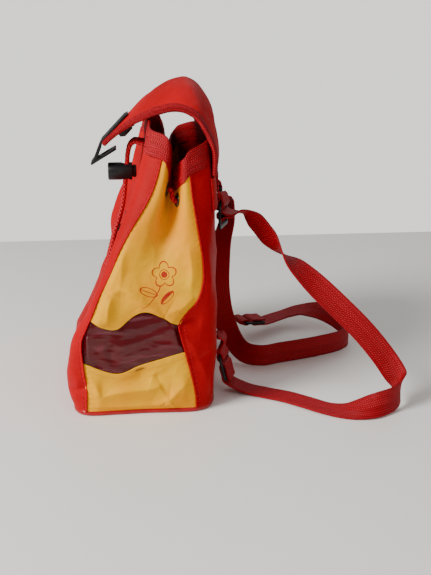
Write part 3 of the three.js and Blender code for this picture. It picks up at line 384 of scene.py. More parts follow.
def woven(name, colour, shade, by_length=True, stamp=None, rough=0.5):
    """Coated nylon cloth: fine plain weave, faint creasing, and edges rubbed a little paler."""
    finish, base, join = new_finish(name, IOR=1.45, Specular_IOR_Level=0.1)
    if by_length:
        u, v, _ = base.node("ShaderNodeUVMap", {"uv_map": "UVMap"}).parts()
        edge = base.node("ShaderNodeAttribute", {"attribute_name": "edge"}, output="Fac")
    else:
        u, v, _ = base.node("ShaderNodeTexCoord", output="Object").parts()
        edge = u * 0 + 1
    threads = math.pi / THREAD_PITCH
    weave = (u * threads).sin() * (v * threads).sin() * 0.5 + 0.5
    slubs = base.cloud(1, 1, base.node("ShaderNodeCombineXYZ", None, {0: u * 90, 1: v * 2600}))
    patch = base.cloud(16, 4)
    tone = (patch * 0.75 + slubs * 0.25).within(0.3, 0.7)
    cloth = tone.blend(shade, colour)
    rubbed = (1 - edge.within(0.0004, 0.0035)) * base.cloud(520, 3).within(0.45, 0.7)
    paler = tuple(min(1, c + 0.03 + 0.1 * c) for c in colour[:3]) + (1,)
    cloth = (rubbed * 0.5).blend(cloth, paler)
    if stamp:
        cloth = stamp(base, cloth)
    join("Base Color", cloth)
    join("Roughness", base.cloud(240, 3) * 0.16 + weave * 0.06 + (rough - 0.1))
    folds = raised(base.cloud(70, 5), 0.0016, 0.4)
    join("Normal", raised(weave, 0.00009, 0.6, folds))
    return finish


def moulded(name, colour, rough=0.38, grain=1400, depth=0.00006):
    """Moulded plastic: a fine grain, slightly uneven gloss, and rubbed spots."""
    finish, base, join = new_finish(name, IOR=1.49, Specular_IOR_Level=0.25)
    rub = base.cloud(130, 4).within(0.52, 0.75)
    paler = tuple(min(1, c * 1.5 + 0.006) for c in colour[:3]) + (1,)
    join("Base Color", (rub * 0.6).blend(colour, paler))
    join("Roughness", rub * 0.14 + base.cloud(600, 2) * 0.08 + (rough - 0.08))
    join("Normal", raised(base.cloud(grain, 2), depth, 0.5))
    return finish


def refinish(node, finish):
    """Gives a CAD node that stays its material."""
    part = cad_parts[node]
    part.data.materials.clear()
    part.data.materials.append(finish)


refinish("base_panel", woven("red nylon base", RED_NYLON, RED_SHADE, by_length=False))
refinish("base_stiffener", moulded("grey board", BOARD_GREY, 0.6, 900))


# ---------------------------------------------------------------- red front and back panels
# Each is one piece of coated red nylon from the base to the mouth band. Its
# side edges are turned under and topstitched over the yellow side panels.
CLOTH = 1.2
SEAM_LAP = 0.05                 # stations that a red panel laps over the yellow
LAP_LIFT = 1.3
FRONT_SEAM, BACK_SEAM = 3, 7
SEAM_THREAD = (0.66, 0.01, 0.03, 1)
SEAM_PITCH, SEAM_STITCH = 3.4, 2.3


def crease(a, z, line, rise, left, right):
    """Height of a fold in cloth along a line of (a, z) points, with its reach on its left and right."""
    line = np.array(line, float)
    legs = np.diff(line, axis=0)
    sizes = np.linalg.norm(legs, axis=1)
    starts = np.concatenate([[0], np.cumsum(sizes)]) / sizes.sum()
    nearest, height = np.full(len(a), 1e9), np.zeros(len(a))
    for (pa, pz), (da, dz), size, start in zip(line, legs, sizes, starts):
        t = np.clip(((a - pa) * da + (z - pz) * dz) / size ** 2, 0, 1)
        away = np.hypot(a - pa - t * da, z - pz - t * dz)
        reach = np.where(da * (z - pz) - dz * (a - pa) > 0, left, right)
        share = np.clip(start + t * size / sizes.sum(), 0.004, 0.996)
        here = rise * np.exp(-(np.hypot(away, 1.2) - 1.2) / reach) * np.sin(math.pi * share) ** 0.5
        height = np.where(away < nearest, here, height)
        nearest = np.minimum(nearest, away)
    return height


def shell(piece, thick, offset=-1.0):
    """Gives a sheet its thickness."""
    wall_of = piece.modifiers.new("thickness", "SOLIDIFY")
    wall_of.thickness = thick * MM
    wall_of.offset = offset
    return piece


def steps_between(low, high, u):
    """A value that goes evenly from low to high."""
    return low + (high - low) * u


def smoothed(x, low, high):
    """Rises smoothly from 0 at low to 1 at high, over an array."""
    t = np.clip((x - low) / (high - low), 0, 1)
    return t * t * (3 - 2 * t)


def panel_surface(s_low, s_high, level_low, level_high, relief, lift=0.0, edge_lift=0.0):
    """A place function for a panel of the wall, with its folds and the lift of its turned edges."""
    def place(u, v):
        s, level = steps_between(s_low, s_high, u), steps_between(level_low, level_high, v)
        points, out = wall(s, np.clip(level, 0, 4)), wall_out(s, np.clip(level, 0, 4))
        rise = relief(points, s, level) + lift
        border = 1 - smoothed(np.minimum(s - s_low, s_high - s), 0.0, 0.12)
        return points + out * (rise + edge_lift * border)[:, None]
    return place


FRONT_FOLDS = [                 # (x, z) lines, rise, reach on the left and right
    ([(-70, 40), (-20, 52), (38, 46), (84, 58)], 3.0, 16, 9),
    ([(-90, 118), (-40, 106), (12, 112), (66, 100)], 2.4, 18, 10),
    ([(-58, 210), (-50, 170), (-64, 120)], 2.2, 10, 14),
    ([(52, 216), (46, 168), (60, 126), (54, 96)], 2.4, 14, 10),
    ([(4, 96), (10, 62), (2, 20)], -2.0, 16, 16),
    ([(-104, 22), (-84, 32), (-60, 30)], -2.4, 8, 8),
]
CORNER_FOLDS = [                # (y, z) lines on the corners that the side view shows
    ([(-78, 25), (-66, 28), (-55, 35)], -3.4, 6, 5),
    ([(-74, 52), (-68, 40), (-72, 14)], 1.8, 6, 6),
    ([(33, 94), (45, 99), (58, 98)], -4.0, 5, 9),
    ([(36, 88), (48, 74), (60, 44), (66, 18)], 2.4, 7, 6),
    ([(65, 176), (68, 144), (64, 104)], 1.8, 5, 6),
    ([(44, 60), (56, 56), (68, 62)], -2.2, 5, 6),
]
BACK_FOLDS = [
    ([(-60, 150), (-10, 142), (56, 152)], 2.2, 16, 12),
    ([(-84, 44), (-30, 52), (30, 40), (86, 50)], 2.6, 12, 14),
    ([(-30, 130), (-36, 96), (-26, 60)], 1.8, 12, 12),
    ([(30, 128), (40, 92), (34, 58)], -1.8, 12, 12),
]


def red_relief(folds, seed):
    """How far a red panel stands off the wall: its folds, its drape and the pucker beside its seams."""
    def relief(points, s, level):
        x, y, z = points.T
        rise = sum(crease(x, z, *fold) for fold in folds)
        corner = smoothed(np.abs(x), 96, 112)
        rise = rise * (1 - 0.75 * corner)
        rise += corner * sum(crease(y, z, *fold) for fold in CORNER_FOLDS)
        pleats = np.sin(x * 0.23 + seed) * smoothed(z, 190, 262) * 1.3 * (1 - corner)
        drape = wandering(points, 34, seed) * 1.5 + (1 - np.abs(wandering(points, 15, seed + 5))) * 0.5 - 0.5
        foot = smoothed(z, WALL_FOOT, 16)
        pucker = np.sin(z * 1.15 + seed) * 0.22 * (1 - smoothed(np.minimum(np.abs(np.mod(s, 20) - 3),
                                                                          np.abs(np.mod(s, 20) - 7)), 0.05, 0.35))
        return (rise + pleats + drape) * foot + pucker
    return relief


def stitches(name, line, out, pitch, length, finish, body, thick=0.42, lift=0.15):
    """A row of short thread stitches along a line of points, each lying on cloth that faces out."""
    run = np.concatenate([[0], np.cumsum(np.linalg.norm(np.diff(line, axis=0), axis=1))])
    bm = bmesh.new()
    for k in range(int(run[-1] / pitch)):
        ends = [np.array([np.interp(k * pitch + x, run, line[:, i]) for i in range(3)]) for x in (0, length)]
        face = np.array([np.interp(k * pitch, run, out[:, i]) for i in range(3)])
        along = Vector(ends[1] - ends[0])
        if along.length < 0.2:
            continue
        along.normalize()
        face = Vector(face)
        face = (face - along * face.dot(along)).normalized()
        middle = Vector((ends[0] + ends[1]) / 2) + face * lift
        turn = Matrix((along, face.cross(along), face)).transposed().to_4x4()
        size = Matrix.Diagonal((length / 2, thick, thick * 0.8, 1))
        bmesh.ops.create_uvsphere(bm, u_segments=6, v_segments=4, radius=1,
                                  matrix=Matrix.Scale(MM, 4) @ Matrix.Translation(middle) @ turn @ size
                                  @ Matrix.Rotation(math.pi / 2, 4, "Y"))
    return dress(placed(name, bm), finish, body)


def thread(name, colour):
    """Twisted sewing thread: fine ridges round it, with painted shade darkening the grooves between them."""
    finish, base, join = new_finish(name, Specular_IOR_Level=0.2)
    ridges = base.node("ShaderNodeTexWave", {"wave_type": "BANDS", "bands_direction": "DIAGONAL"}, {"Scale": 1400.0})
    # painted shade: the colour darkens in the grooves between the ridges
    join("Base Color", ridges.blend(tuple(c * 0.6 for c in colour[:3]) + (1,), colour))
    join("Roughness", base.cloud(900) * 0.2 + 0.5)
    join("Normal", raised(ridges, 0.00006, 0.6))
    return finish


def seam_row(name, s, level_low, level_high, place, s_low, s_high, v_low, v_high, finish):
    """Topstitching up a panel at one station, on the panel's own surface."""
    level = np.linspace(level_low, level_high, 160)
    u = np.full(160, (s - s_low) / (s_high - s_low))
    v = (level - v_low) / (v_high - v_low)
    return stitches(name, place(u, v), wall_out(np.full(160, float(s)), level), SEAM_PITCH, SEAM_STITCH, finish,
                    "bag")


red_nylon = woven("red nylon", RED_NYLON, RED_SHADE)
red_thread = thread("red thread", SEAM_THREAD)
RED_TOP = 3.06
for side, middle, folds, seed in (("front", 0, FRONT_FOLDS, 1.7), ("back", STATIONS, BACK_FOLDS, 6.2)):
    reach = FRONT_SEAM + SEAM_LAP
    place = panel_surface(middle - reach, middle + reach, 0, RED_TOP, red_relief(folds, seed), 0.3, LAP_LIFT)
    cloth = laid(f"{side}_cloth", 170, 170, place)
    shell(cloth, CLOTH)
    dress(cloth, red_nylon, "bag", [f"{side}_panel"])
    for hand, offset in (("right", 1), ("left", -1)):
        at = middle + (offset if side == "front" else -offset) * (FRONT_SEAM - 0.14)
        seam_row(f"{side}_stitches_{hand}", at, 0.08, 2.98, place, middle - reach, middle + reach, 0, RED_TOP,
                 red_thread)


# ---------------------------------------------------------------- yellow side panels
# Golden yellow nylon above and below the film window. The upper panel folds
# in as the mouth is drawn shut, and its hem laps over the film.
YELLOW_NYLON = (0.92, 0.47, 0.0, 1)
YELLOW_SHADE = (0.86, 0.30, 0.0, 1)
PRINT_RED = (0.42, 0.012, 0.012, 1)
PRINT_MIDDLE = (0.0145, 0.137)  # y and z
SIDE_CLOTH = 0.9
HEM_LAP = 0.05                  # levels that a hem laps over the film
HEM_PITCH, HEM_STITCH = 3.0, 2.0
FOLD_GAIN, FOLD_REACH = 1.6, 0.8
SIDE_FOLDS = [                  # (y, z) lines, rise, reach on the left and right
    ([(-33, 129), (-22, 133.5), (-15, 131), (-4, 122), (9, 112.5), (21, 105)], 5.2, 15, 6),
    ([(-31, 128), (-35, 115), (-37, 97)], 3.6, 6, 10),
    ([(20, 106), (36, 112), (52, 122)], 2.6, 9, 7),
    ([(-24, 190), (-20, 160), (-22, 136)], 1.6, 7, 7),
    ([(46, 176), (49, 150), (47, 128)], 2.0, 6, 6),
    ([(8, 190), (12, 164), (10, 146)], 0.9, 8, 8),
    ([(-52, 106), (-44, 99), (-38, 97)], 1.5, 6, 6),
    ([(-59, 31), (-44, 22), (-27, 27), (14, 30), (24, 16), (46, 37)], 4.4, 6, 11),
    ([(-62, 51), (-51, 34), (-44, 23)], 2.4, 5, 6),
    ([(10, 44), (16, 32), (23, 17)], -3.0, 7, 7),
    ([(-8, 50), (-4, 40), (6, 36)], -1.6, 8, 8),
    ([(-56, 12), (-20, 9), (20, 10), (44, 16)], 1.8, 6, 6),
]
OTHER_SIDE_FOLDS = [
    ([(-34, 122), (-18, 128), (0, 124), (18, 112)], 4.6, 13, 7),
    ([(22, 104), (38, 114), (52, 118)], 2.4, 8, 7),
    ([(-30, 120), (-36, 106), (-34, 96)], 3.0, 7, 9),
    ([(12, 190), (9, 166), (12, 148)], 1.2, 8, 8),
    ([(-54, 26), (-30, 20), (0, 26), (34, 22), (48, 34)], 4.0, 6, 10),
    ([(-10, 46), (0, 36), (10, 30)], -2.6, 7, 7),
    ([(-60, 48), (-50, 36), (-46, 24)], 2.2, 5, 6),
]


def side_relief(folds, seed):
    """How far a yellow panel stands off the wall, with its folds flat where it is sewn."""
    def relief(points, s, level):
        x, y, z = points.T
        rise = sum(crease(y, z, line, high * FOLD_GAIN, left * FOLD_REACH, right * FOLD_REACH)
                   for line, high, left, right in folds)
        near = np.minimum(np.abs(np.abs(s) - FRONT_SEAM), np.abs(BACK_SEAM - np.abs(s)))
        held = smoothed(near, 0.04, 0.45)
        drape = wandering(points, 27, seed) * 1.3 + (1 - np.abs(wandering(points, 12, seed + 3))) * 0.7 - 0.6
        calm = 1 - 0.75 * smoothed(z, 170, 215)
        pucker = np.sin(z * 1.1 + seed) * 0.25 * (smoothed(near, 0.05, 0.15) - smoothed(near, 0.15, 0.4))
        return (rise + drape) * held * calm * smoothed(z, WALL_FOOT, 11) + pucker
    return relief


def leaf_sprig(base, cloth):
    """A plain printed flower with a stem and two leaves."""
    _, y, z = base.node("ShaderNodeTexCoord", output="Object").parts()
    y, z = (y - PRINT_MIDDLE[0]) * 1000, (z - PRINT_MIDDLE[1]) * 1000

    def turned(cy, cz, angle):
        c, s = math.cos(angle), math.sin(angle)
        return (y - cy) * c + (z - cz) * s, (z - cz) * c - (y - cy) * s

    def oval(cy, cz, angle, long, short):
        a, b = turned(cy, cz, angle)
        return ((a / long) * (a / long) + (b / short) * (b / short)).maths("SQRT")

    a, b = turned(7, 9, 0.35)
    away = (a * a + b * b).maths("SQRT")
    turn = b.maths("ARCTAN2", a)
    petals = (turn * 2.5).cos().size() * 4.6 + 7.6
    line = ((away - petals).size() < 0.65).maths("MAXIMUM", away < 3.1)
    line = line.maths("MAXIMUM", ((away - 4.6).size() < 0.35))
    stem_y = (z + 1) * (z + 1) * -0.028 + z * 0.22 + 3.2
    stem = ((y - stem_y).size() < 0.6) * (z < -1.5) * (z > -23)
    line = line.maths("MAXIMUM", stem)
    for leaf, filled in (((-9, -7, 2.75, 9.5, 4.0), False), ((9.5, -13, 0.75, 8.5, 3.6), True)):
        round_leaf = oval(*leaf)
        rim = ((round_leaf - 0.93).size() < 0.085)
        vein = (turned(*leaf[:3])[1].size() < 0.35) * (round_leaf < 0.9)
        line = line.maths("MAXIMUM", rim).maths("MAXIMUM", vein)
        if filled:
            line = line.maths("MAXIMUM", (round_leaf < 0.93) * (turned(*leaf[:3])[1] > 0))
    worn = line * (0.86 + base.cloud(700, 3).within(0.35, 0.6) * 0.14)
    return worn.blend(cloth, PRINT_RED)


yellow_nylon = woven("yellow nylon", YELLOW_NYLON, YELLOW_SHADE, stamp=leaf_sprig, rough=0.5)
yellow_thread = thread("yellow thread", (0.9, 0.5, 0.03, 1))


def side_span(hand):
    """The stations of a side from left to right as seen from outside."""
    return (FRONT_SEAM - 0.03, BACK_SEAM + 0.03) if hand == "right" else (-BACK_SEAM - 0.03, 0.03 - FRONT_SEAM)


def hem_lift(relief, hem_level, lift=0.8):
    """A turned hem stands proud of the film beside it."""
    def raised_hem(points, s, level):
        near = np.minimum(np.abs(np.abs(s) - FRONT_SEAM), np.abs(BACK_SEAM - np.abs(s)))
        clear = smoothed(near, 0.08, 0.5)
        return relief(points, s, level) + lift * clear * (1 - smoothed(np.abs(level - hem_level), 0.0, 0.22))
    return raised_hem


for hand, folds, seed in (("right", SIDE_FOLDS, 3.3), ("left", OTHER_SIDE_FOLDS, 9.1)):
    low, high = side_span(hand)
    relief = side_relief(folds, seed)
    for part, v_low, v_high, hem in (("upper", 2 - HEM_LAP, 3.04, 2), ("lower", 0, 1 + HEM_LAP, 1)):
        place = panel_surface(low, high, v_low, v_high, hem_lift(relief, hem), 0.0, -0.9)
        cloth = laid(f"side_{part}_cloth_{hand}", 170, 110 if part == "upper" else 60, place)
        shell(cloth, SIDE_CLOTH)
        dress(cloth, yellow_nylon, "bag", [f"side_{part}_{hand}"])
        s = np.linspace(low + 0.1, high - 0.1, 240)
        level = np.full(240, hem + (0.06 if part == "upper" else -0.07))
        line = place((s - low) / (high - low), (level - v_low) / (v_high - v_low))
        stitches(f"hem_stitches_{part}_{hand}", line, wall_out(s, level), HEM_PITCH, HEM_STITCH, yellow_thread, "bag",
                 thick=0.3)


# ---------------------------------------------------------------- film windows
# Clear film over dark red cloth, sewn into each side between the yellow
# panels. The film is stiff, so it creases sharply where the side bends.
FILM_TINT = (0.08, 0.002, 0.006, 1)
LINING_RED = (0.34, 0.0, 0.004, 1)
FILM_THICK, LINING_THICK, LINING_BEHIND = 0.3, 0.8, -3.2
FILM_FOLDS = [                  # (y, z) lines, rise, reach on the left and right
    ([(-66, 80), (-43, 84), (-24, 75), (1, 82), (33, 92)], 2.2, 2.6, 3.4),
    ([(-27, 90), (1, 95), (33, 107)], 1.8, 3, 4),
    ([(-52, 106), (-56, 89), (-56, 58)], 2.6, 4, 3),
    ([(-61, 100), (-64, 78), (-60, 60)], -1.6, 3, 3),
    ([(-36, 84), (-34, 66), (-32, 44)], -2.4, 4, 3),
    ([(-45, 62), (-34, 52), (-22, 54)], 1.2, 2.5, 2.5),
    ([(-10, 68), (8, 72), (30, 78)], 1.0, 2.5, 4),
    ([(28, 104), (30, 88), (34, 70)], 1.4, 2.5, 3),
]


def film_relief(folds, seed):
    """How far the film stands off the wall: stiff creases, held at its four edges."""
    def relief(points, s, level):
        y, z = points[:, 1], points[:, 2]
        rise = sum(crease(y, z, *fold) for fold in folds)
        sharp = 1 - np.abs(wandering(points * (1, 0.6, 1.5), 11, seed)) * 2
        near = np.minimum(np.abs(np.abs(s) - FRONT_SEAM), np.abs(BACK_SEAM - np.abs(s)))
        held = smoothed(near, 0.0, 0.3) * smoothed(2 - level, 0.0, 0.14) * smoothed(level - 1, 0.0, 0.14)
        return (rise * 1.25 + sharp * 1.1 + wandering(points, 30, seed + 2) * 1.8) * held - 0.6
    return relief


def clear_film(name):
    """Clear plastic film, tinted by the cloth behind it and scuffed in patches."""
    finish, base, join = new_finish(name, IOR=1.52, Coat_Weight=0.5, Coat_Roughness=0.03)
    scuffs = base.cloud(90, 5, stretch=(1, 0.4, 2.2)).within(0.5, 0.72)
    join("Base Color", scuffs.blend(FILM_TINT, (0.20, 0.02, 0.04, 1)))
    join("Roughness", scuffs * 0.18 + 0.07)
    join("Alpha", scuffs * 0.14 + 0.32)
    join("Normal", raised(base.cloud(120, 3), 0.0007, 0.35))
    return finish


film_clear = clear_film("clear film")
lining_red = woven("dark red lining", LINING_RED, (0.12, 0.0, 0.002, 1), rough=0.6)
for hand, seed in (("right", 4.4), ("left", 7.9)):
    low, high = side_span(hand)
    folds = FILM_FOLDS if hand == "right" else [([(-a, z) for a, z in line[::-1]], *rest)
                                                for line, *rest in FILM_FOLDS[:4]]
    relief = film_relief(folds, seed)
    film = laid(f"film_{hand}", 190, 72, panel_surface(low, high, 0.96, 2.04, relief, 0.0, -0.4))
    shell(film, FILM_THICK)
    dress(film, film_clear, "bag", [f"window_film_{hand}"])
    behind = laid(f"lining_{hand}", 120, 44,
                  panel_surface(low, high, 0.96, 2.04, lambda p, s, level: 0.6 * relief(p, s, level),
                                LINING_BEHIND, 0.6))
    shell(behind, LINING_THICK)
    dress(behind, lining_red, "bag", [f"window_lining_{hand}"])


# ---------------------------------------------------------------- mouth band
# Red webbing folded over the top edge of the cloth and sewn down, once
# round the mouth. Where the sides fold in, it folds with them.
WEB_PITCH = 2.4                 # mm, one knuckle of the weave along the webbing
WEB_ROW = 2.2                   # mm, across it
WEB_CHEVRON = 8.8               # mm, one herringbone
BAND_STITCH_LEVEL = 3.1
BAND_PITCH, BAND_STITCH = 3.6, 2.4
BAND_RIPPLE = 0.9               # mm
RIPPLE_NOISE = (22, 8.0)        # its size in millimetres, and its seed
WEBBING_RED = (0.66, 0.0, 0.014, 1)
# Painted light: the deep colour is painted shade in the weave's grooves, and the light colour is a painted highlight
# on its knuckles.
WEBBING_GROOVE_SHADE = (0.17, 0.0, 0.002, 1)
WEBBING_KNUCKLE_HIGHLIGHT = (0.90, 0.06, 0.08, 1)


def knuckles(along, across):
    """Height of the webbing's weave, 0 to 1, at lengths in millimetres."""
    lean = np.abs(np.mod(across / WEB_CHEVRON, 1) - 0.5) * 2
    rib = 0.5 + 0.5 * np.sin(2 * math.pi * (along / WEB_PITCH + lean * 1.5))
    return rib * (0.65 + 0.35 * np.cos(2 * math.pi * across / WEB_ROW))


def webbing_finish(name, colour, deep, light):
    """Ribbed polypropylene webbing in a herringbone, with a painted highlight on its knuckles and painted shade in
    its grooves.
    """
    finish, base, join = new_finish(name, IOR=1.48, Specular_IOR_Level=0.2)
    u, v, _ = base.node("ShaderNodeUVMap", {"uv_map": "UVMap"}).parts()
    lean = ((v / (WEB_CHEVRON * MM)).fraction() - 0.5).size() * 3
    rib = ((u / (WEB_PITCH * MM) + lean) * (2 * math.pi)).sin() * 0.5 + 0.5
    rows = (v * (2 * math.pi / (WEB_ROW * MM))).cos() * 0.35 + 0.65
    height = rib * rows
    strands = ((u + v) * (2 * math.pi / 0.0006)).sin() * 0.5 + 0.5
    # painted shade: the colour darkens in the grooves of the weave
    tone = height.within(0.05, 0.75).blend(deep, colour)
    # painted highlight: pale pink patches on the knuckle tops
    tone = (height.within(0.62, 1.0) * base.cloud(300, 3).within(0.3, 0.7) * 0.8).blend(tone, light)
    join("Base Color", tone)
    join("Roughness", base.cloud(500) * 0.15 + 0.42)
    join("Normal", raised(strands, 0.00008, 0.5, raised(height, 0.0005, 0.8)))
    return finish


def band_surface(u, v):
    s = u * 2 * STATIONS
    turn = 2 * math.pi * v
    level = 3.5 + 0.52 * np.clip(1.25 * np.sin(turn), -1, 1)
    swell = np.sign(np.cos(turn)) * np.abs(np.cos(turn)) ** 0.4
    inside = np.minimum(level, 3.97)
    points, out = wall(s, inside), wall_out(s, inside)
    length = np.interp(s, BAND_S, BAND_RUN)
    ripple = wandering(points, *RIPPLE_NOISE) * BAND_RIPPLE
    weave = knuckles(length, (level - 3) * MOUTH_BAND) * 0.3
    points = points + out * (swell * (1.25 + weave) - 0.1 + ripple)[:, None]
    points[:, 2] += np.maximum(level - 3.97, 0) * MOUTH_BAND
    return points


BAND_S = np.linspace(0, 2 * STATIONS, 1201)
BAND_RUN = np.concatenate([[0], np.cumsum(np.linalg.norm(np.diff(wall(BAND_S, 0 * BAND_S + 3.5), axis=0), axis=1))])
red_webbing = webbing_finish("red webbing", WEBBING_RED, WEBBING_GROOVE_SHADE, WEBBING_KNUCKLE_HIGHLIGHT)
band = laid("mouth_band", 1500, 28, band_surface, tube=True, ring=True)
dress(band, red_webbing, "bag", ["mouth_webbing"])
s = np.linspace(0, 2 * STATIONS, 900)
level = np.full(900, BAND_STITCH_LEVEL)
out = wall_out(s, level)
line = wall(s, level) + out * (1.3 + BAND_RIPPLE * wandering(wall(s, level), *RIPPLE_NOISE)[:, None])
stitches("band_stitches_low", line, out, BAND_PITCH, BAND_STITCH, red_thread, "bag", thick=0.35)


# ---------------------------------------------------------------- eyelets
# Small dark enamelled brass eyelets, pressed through the cloth. The
# drawstring goes through two in the front and two in each side.
EYELET_BORE, EYELET_FLANGE, EYELET_CUT = 8.0, 14.0, 5.0     # the last is the radius cut from the cloth
FRONT_EYELET, FRONT_DROP = 0.27, 10.3       # station, and mm below the mouth band
SIDE_EYELETS, SIDE_DROP = (4.46, 5.54), 13
ENAMEL = (0.035, 0.028, 0.025, 1)


def spun(name, section, steps=48):
    """A body of revolution about Z, from a section of (radius, height) points that closes on itself or on
    the axis."""
    bm = bmesh.new()
    points = [bm.verts.new((r * MM, 0, h * MM)) for r, h in section]
    lines = [bm.edges.new(pair) for pair in zip(points, points[1:])]
    if section[0][0] > 0:
        lines.append(bm.edges.new((points[-1], points[0])))
    bmesh.ops.spin(bm, geom=points + lines, cent=(0, 0, 0), axis=(0, 0, 1), dvec=(0, 0, 0),
                   angle=2 * math.pi, steps=steps, use_merge=True, use_duplicate=False)
    bmesh.ops.remove_doubles(bm, verts=bm.verts, dist=1e-6)
    bmesh.ops.recalc_face_normals(bm, faces=bm.faces)
    return placed(name, bm)


def set_in(piece, origin, across, along, out):
    """Moves a piece's mesh from the origin into a place on the bag."""
    turn = Matrix((Vector(across), Vector(along), Vector(out))).transposed().to_4x4()
    piece.data.transform(Matrix.Translation(Vector(origin) * MM) @ turn)
    return piece


def enamelled(name):
    """Dark enamel on brass, worn through in spots."""
    finish, base, join = new_finish(name, IOR=1.5)
    worn = base.cloud(700, 4).within(0.58, 0.7)
    join("Base Color", worn.blend(ENAMEL, (0.42, 0.34, 0.24, 1)))
    join("Metallic", worn * 0.6 + 0.4)
    join("Roughness", base.cloud(900, 2) * 0.15 + 0.24)
    join("Normal", raised(base.cloud(1500, 2), 0.00005, 0.4))
    return finish


def level_at(s, z):
    """The level at a height, at one station."""
    low, high = 0.0, 4.0
    for _ in range(40):
        middle = (low + high) / 2
        if height_at(np.array([s]), np.array([middle]))[0] < z:
            low = middle
        else:
            high = middle
    return low


def eyelet_place(s, drop):
    """A place below the mouth band: the middle of the cloth there, and the way that it faces."""
    z = height_at(np.array([s]), np.array([3.0]))[0] - drop
    at = np.array([s]), np.array([level_at(s, z)])
    out = wall_out(*at)[0]
    return wall(*at)[0] - out * 0.8, out


EYELETS = {f"eyelet_front_{hand}": eyelet_place(side * FRONT_EYELET, FRONT_DROP)
           for hand, side in (("right", 1), ("left", -1))}
EYELETS |= {f"eyelet_side_{end}_{hand}": eyelet_place(side * at, SIDE_DROP)
            for hand, side in (("right", 1), ("left", -1)) for end, at in zip(("front", "back"), SIDE_EYELETS)}
bore, flange, seat = EYELET_BORE / 2, EYELET_FLANGE / 2, 1.3
half_ring = [(bore + 0.1, 0), (bore, seat), (bore + 0.25, seat + 0.7), (bore + 0.9, seat + 1.05),
             (flange - 1.0, seat + 0.75), (flange - 0.25, seat + 0.3), (flange, seat - 0.3), (bore + 0.9, seat - 0.4)]
ring_section = half_ring + [(r, -h) for r, h in half_ring[:0:-1]]
dark_enamel = enamelled("dark enamel")
for node, (middle, out) in EYELETS.items():
    across = unit(np.cross((0, 0, 1), out))
    ring = set_in(spun(node.replace("eyelet", "ring"), ring_section), middle, across, np.cross(out, across), out)
    dress(ring, dark_enamel, "bag", [node])


def open_cloth(piece, places, radius):
    """Takes the cloth's faces out of the eyelets' holes; each flange covers the cut edge."""
    bm = bmesh.new()
    bm.from_mesh(piece.data)
    holes = [f for f in bm.faces
             if any((f.calc_center_median() - Vector(m) * MM).length < radius * MM for m, _ in places)]
    bmesh.ops.delete(bm, geom=holes, context="FACES")
    bm.to_mesh(piece.data)
    bm.free()


for piece_name, ends in (("front_cloth", ("front_right", "front_left")),
                         ("side_upper_cloth_right", ("side_front_right", "side_back_right")),
                         ("side_upper_cloth_left", ("side_front_left", "side_back_left"))):
    open_cloth(bpy.data.objects[piece_name], [EYELETS["eyelet_" + end] for end in ends], EYELET_CUT)


# ---------------------------------------------------------------- flap hem and yoke
# The flap's lower end is sewn flat to the back, and a strip of webbing
# across it holds the two upper strap tabs.
HINGE_Z = 238
HEM_DEEP, YOKE_DEEP = 33, 24    # how far below the hinge they reach
HEM_THICK, YOKE_THICK = 1.4, 1.5
EDGE_PITCH, EDGE_STITCH = 3.2, 2.1


def back_layer(s_low, s_high, z_low, z_high, stand_off, weave=0.0):
    """A place function for a flat layer sewn to the back, between two stations and two heights."""
    def place(u, v):
        s, z = steps_between(s_low, s_high, u), steps_between(z_low, z_high, v)
        level = np.interp(z, height_at(np.full(200, 10.0), LEVELS), LEVELS)
        points, out = wall(s, level), wall_out(s, level)
        points[:, 2] = z
        knuckle = knuckles(points[:, 0], z - z_low) * weave
        ripple = wandering(points, 25, 4.0) * 0.35
        return points + out * (stand_off + knuckle + ripple)[:, None]
    return place


LEVELS = np.linspace(0, 3.99, 200)
hem_place = back_layer(8, 12, HINGE_Z - HEM_DEEP, HINGE_Z - 0.8, 2.3)
hem = laid("flap_hem_cloth", 120, 26, hem_place)
shell(hem, HEM_THICK)
dress(hem, red_nylon, "bag", ["flap_hem"])
yoke_place = back_layer(8.7, 11.3, HINGE_Z - YOKE_DEEP, HINGE_Z - 2, 4.2, 0.25)
yoke = laid("yoke", 300, 26, yoke_place)
shell(yoke, YOKE_THICK)
dress(yoke, red_webbing, "bag", ["yoke_webbing"])
for name, place, v, slot in (("yoke_stitches_low", yoke_place, 0.1, "red_webbing"),
                             ("yoke_stitches_high", yoke_place, 0.9, "red_webbing"),
                             ("hem_stitches", hem_place, 0.12, "red_nylon")):
    line = place(np.linspace(0.02, 0.98, 160), np.full(160, v))
    stitches(name, line, np.tile((0.0, 1, 0), (160, 1)), EDGE_PITCH, EDGE_STITCH, red_thread, "bag")


# ---------------------------------------------------------------- flap
# One sheet of red nylon that curves from the back over the mouth and down to
# a point in front, with red webbing folded over its two side edges.
FLAP_TIP = 9
FLAP_BINDING = 10
FLAP_POINT = 17
flap_ends = list(range(10))
middle_y = smooth_profile(list(zip(flap_ends, [82.2, 81.6, 80, 75, 59.5, 37, 13, -10, -24, -37])))
middle_z = smooth_profile(list(zip(flap_ends, [0, 16, 41, 65.5, 85.5, 87, 74, 51.5, 38, 24])))
edge_y = smooth_profile(list(zip(flap_ends, [73.5, 74.5, 73, 66, 56, 38, 12, -10, -24, -37])))
edge_z = smooth_profile(list(zip(flap_ends, [0, 14, 28, 43, 57, 63, 56, 44, 34, 22])))
flap_taper = smooth_profile(list(zip(flap_ends, [1, 0.994, 0.974, 0.922, 0.844, 0.688, 0.481, 0.221, 0.065, 0])))
FLAP_ROOT = float(half_width(MOUTH_Z - 54)) - 10.3


def flap_half(t):
    """Half the flap's width at a station."""
    return FLAP_POINT + (FLAP_ROOT - FLAP_POINT) * flap_taper(t)


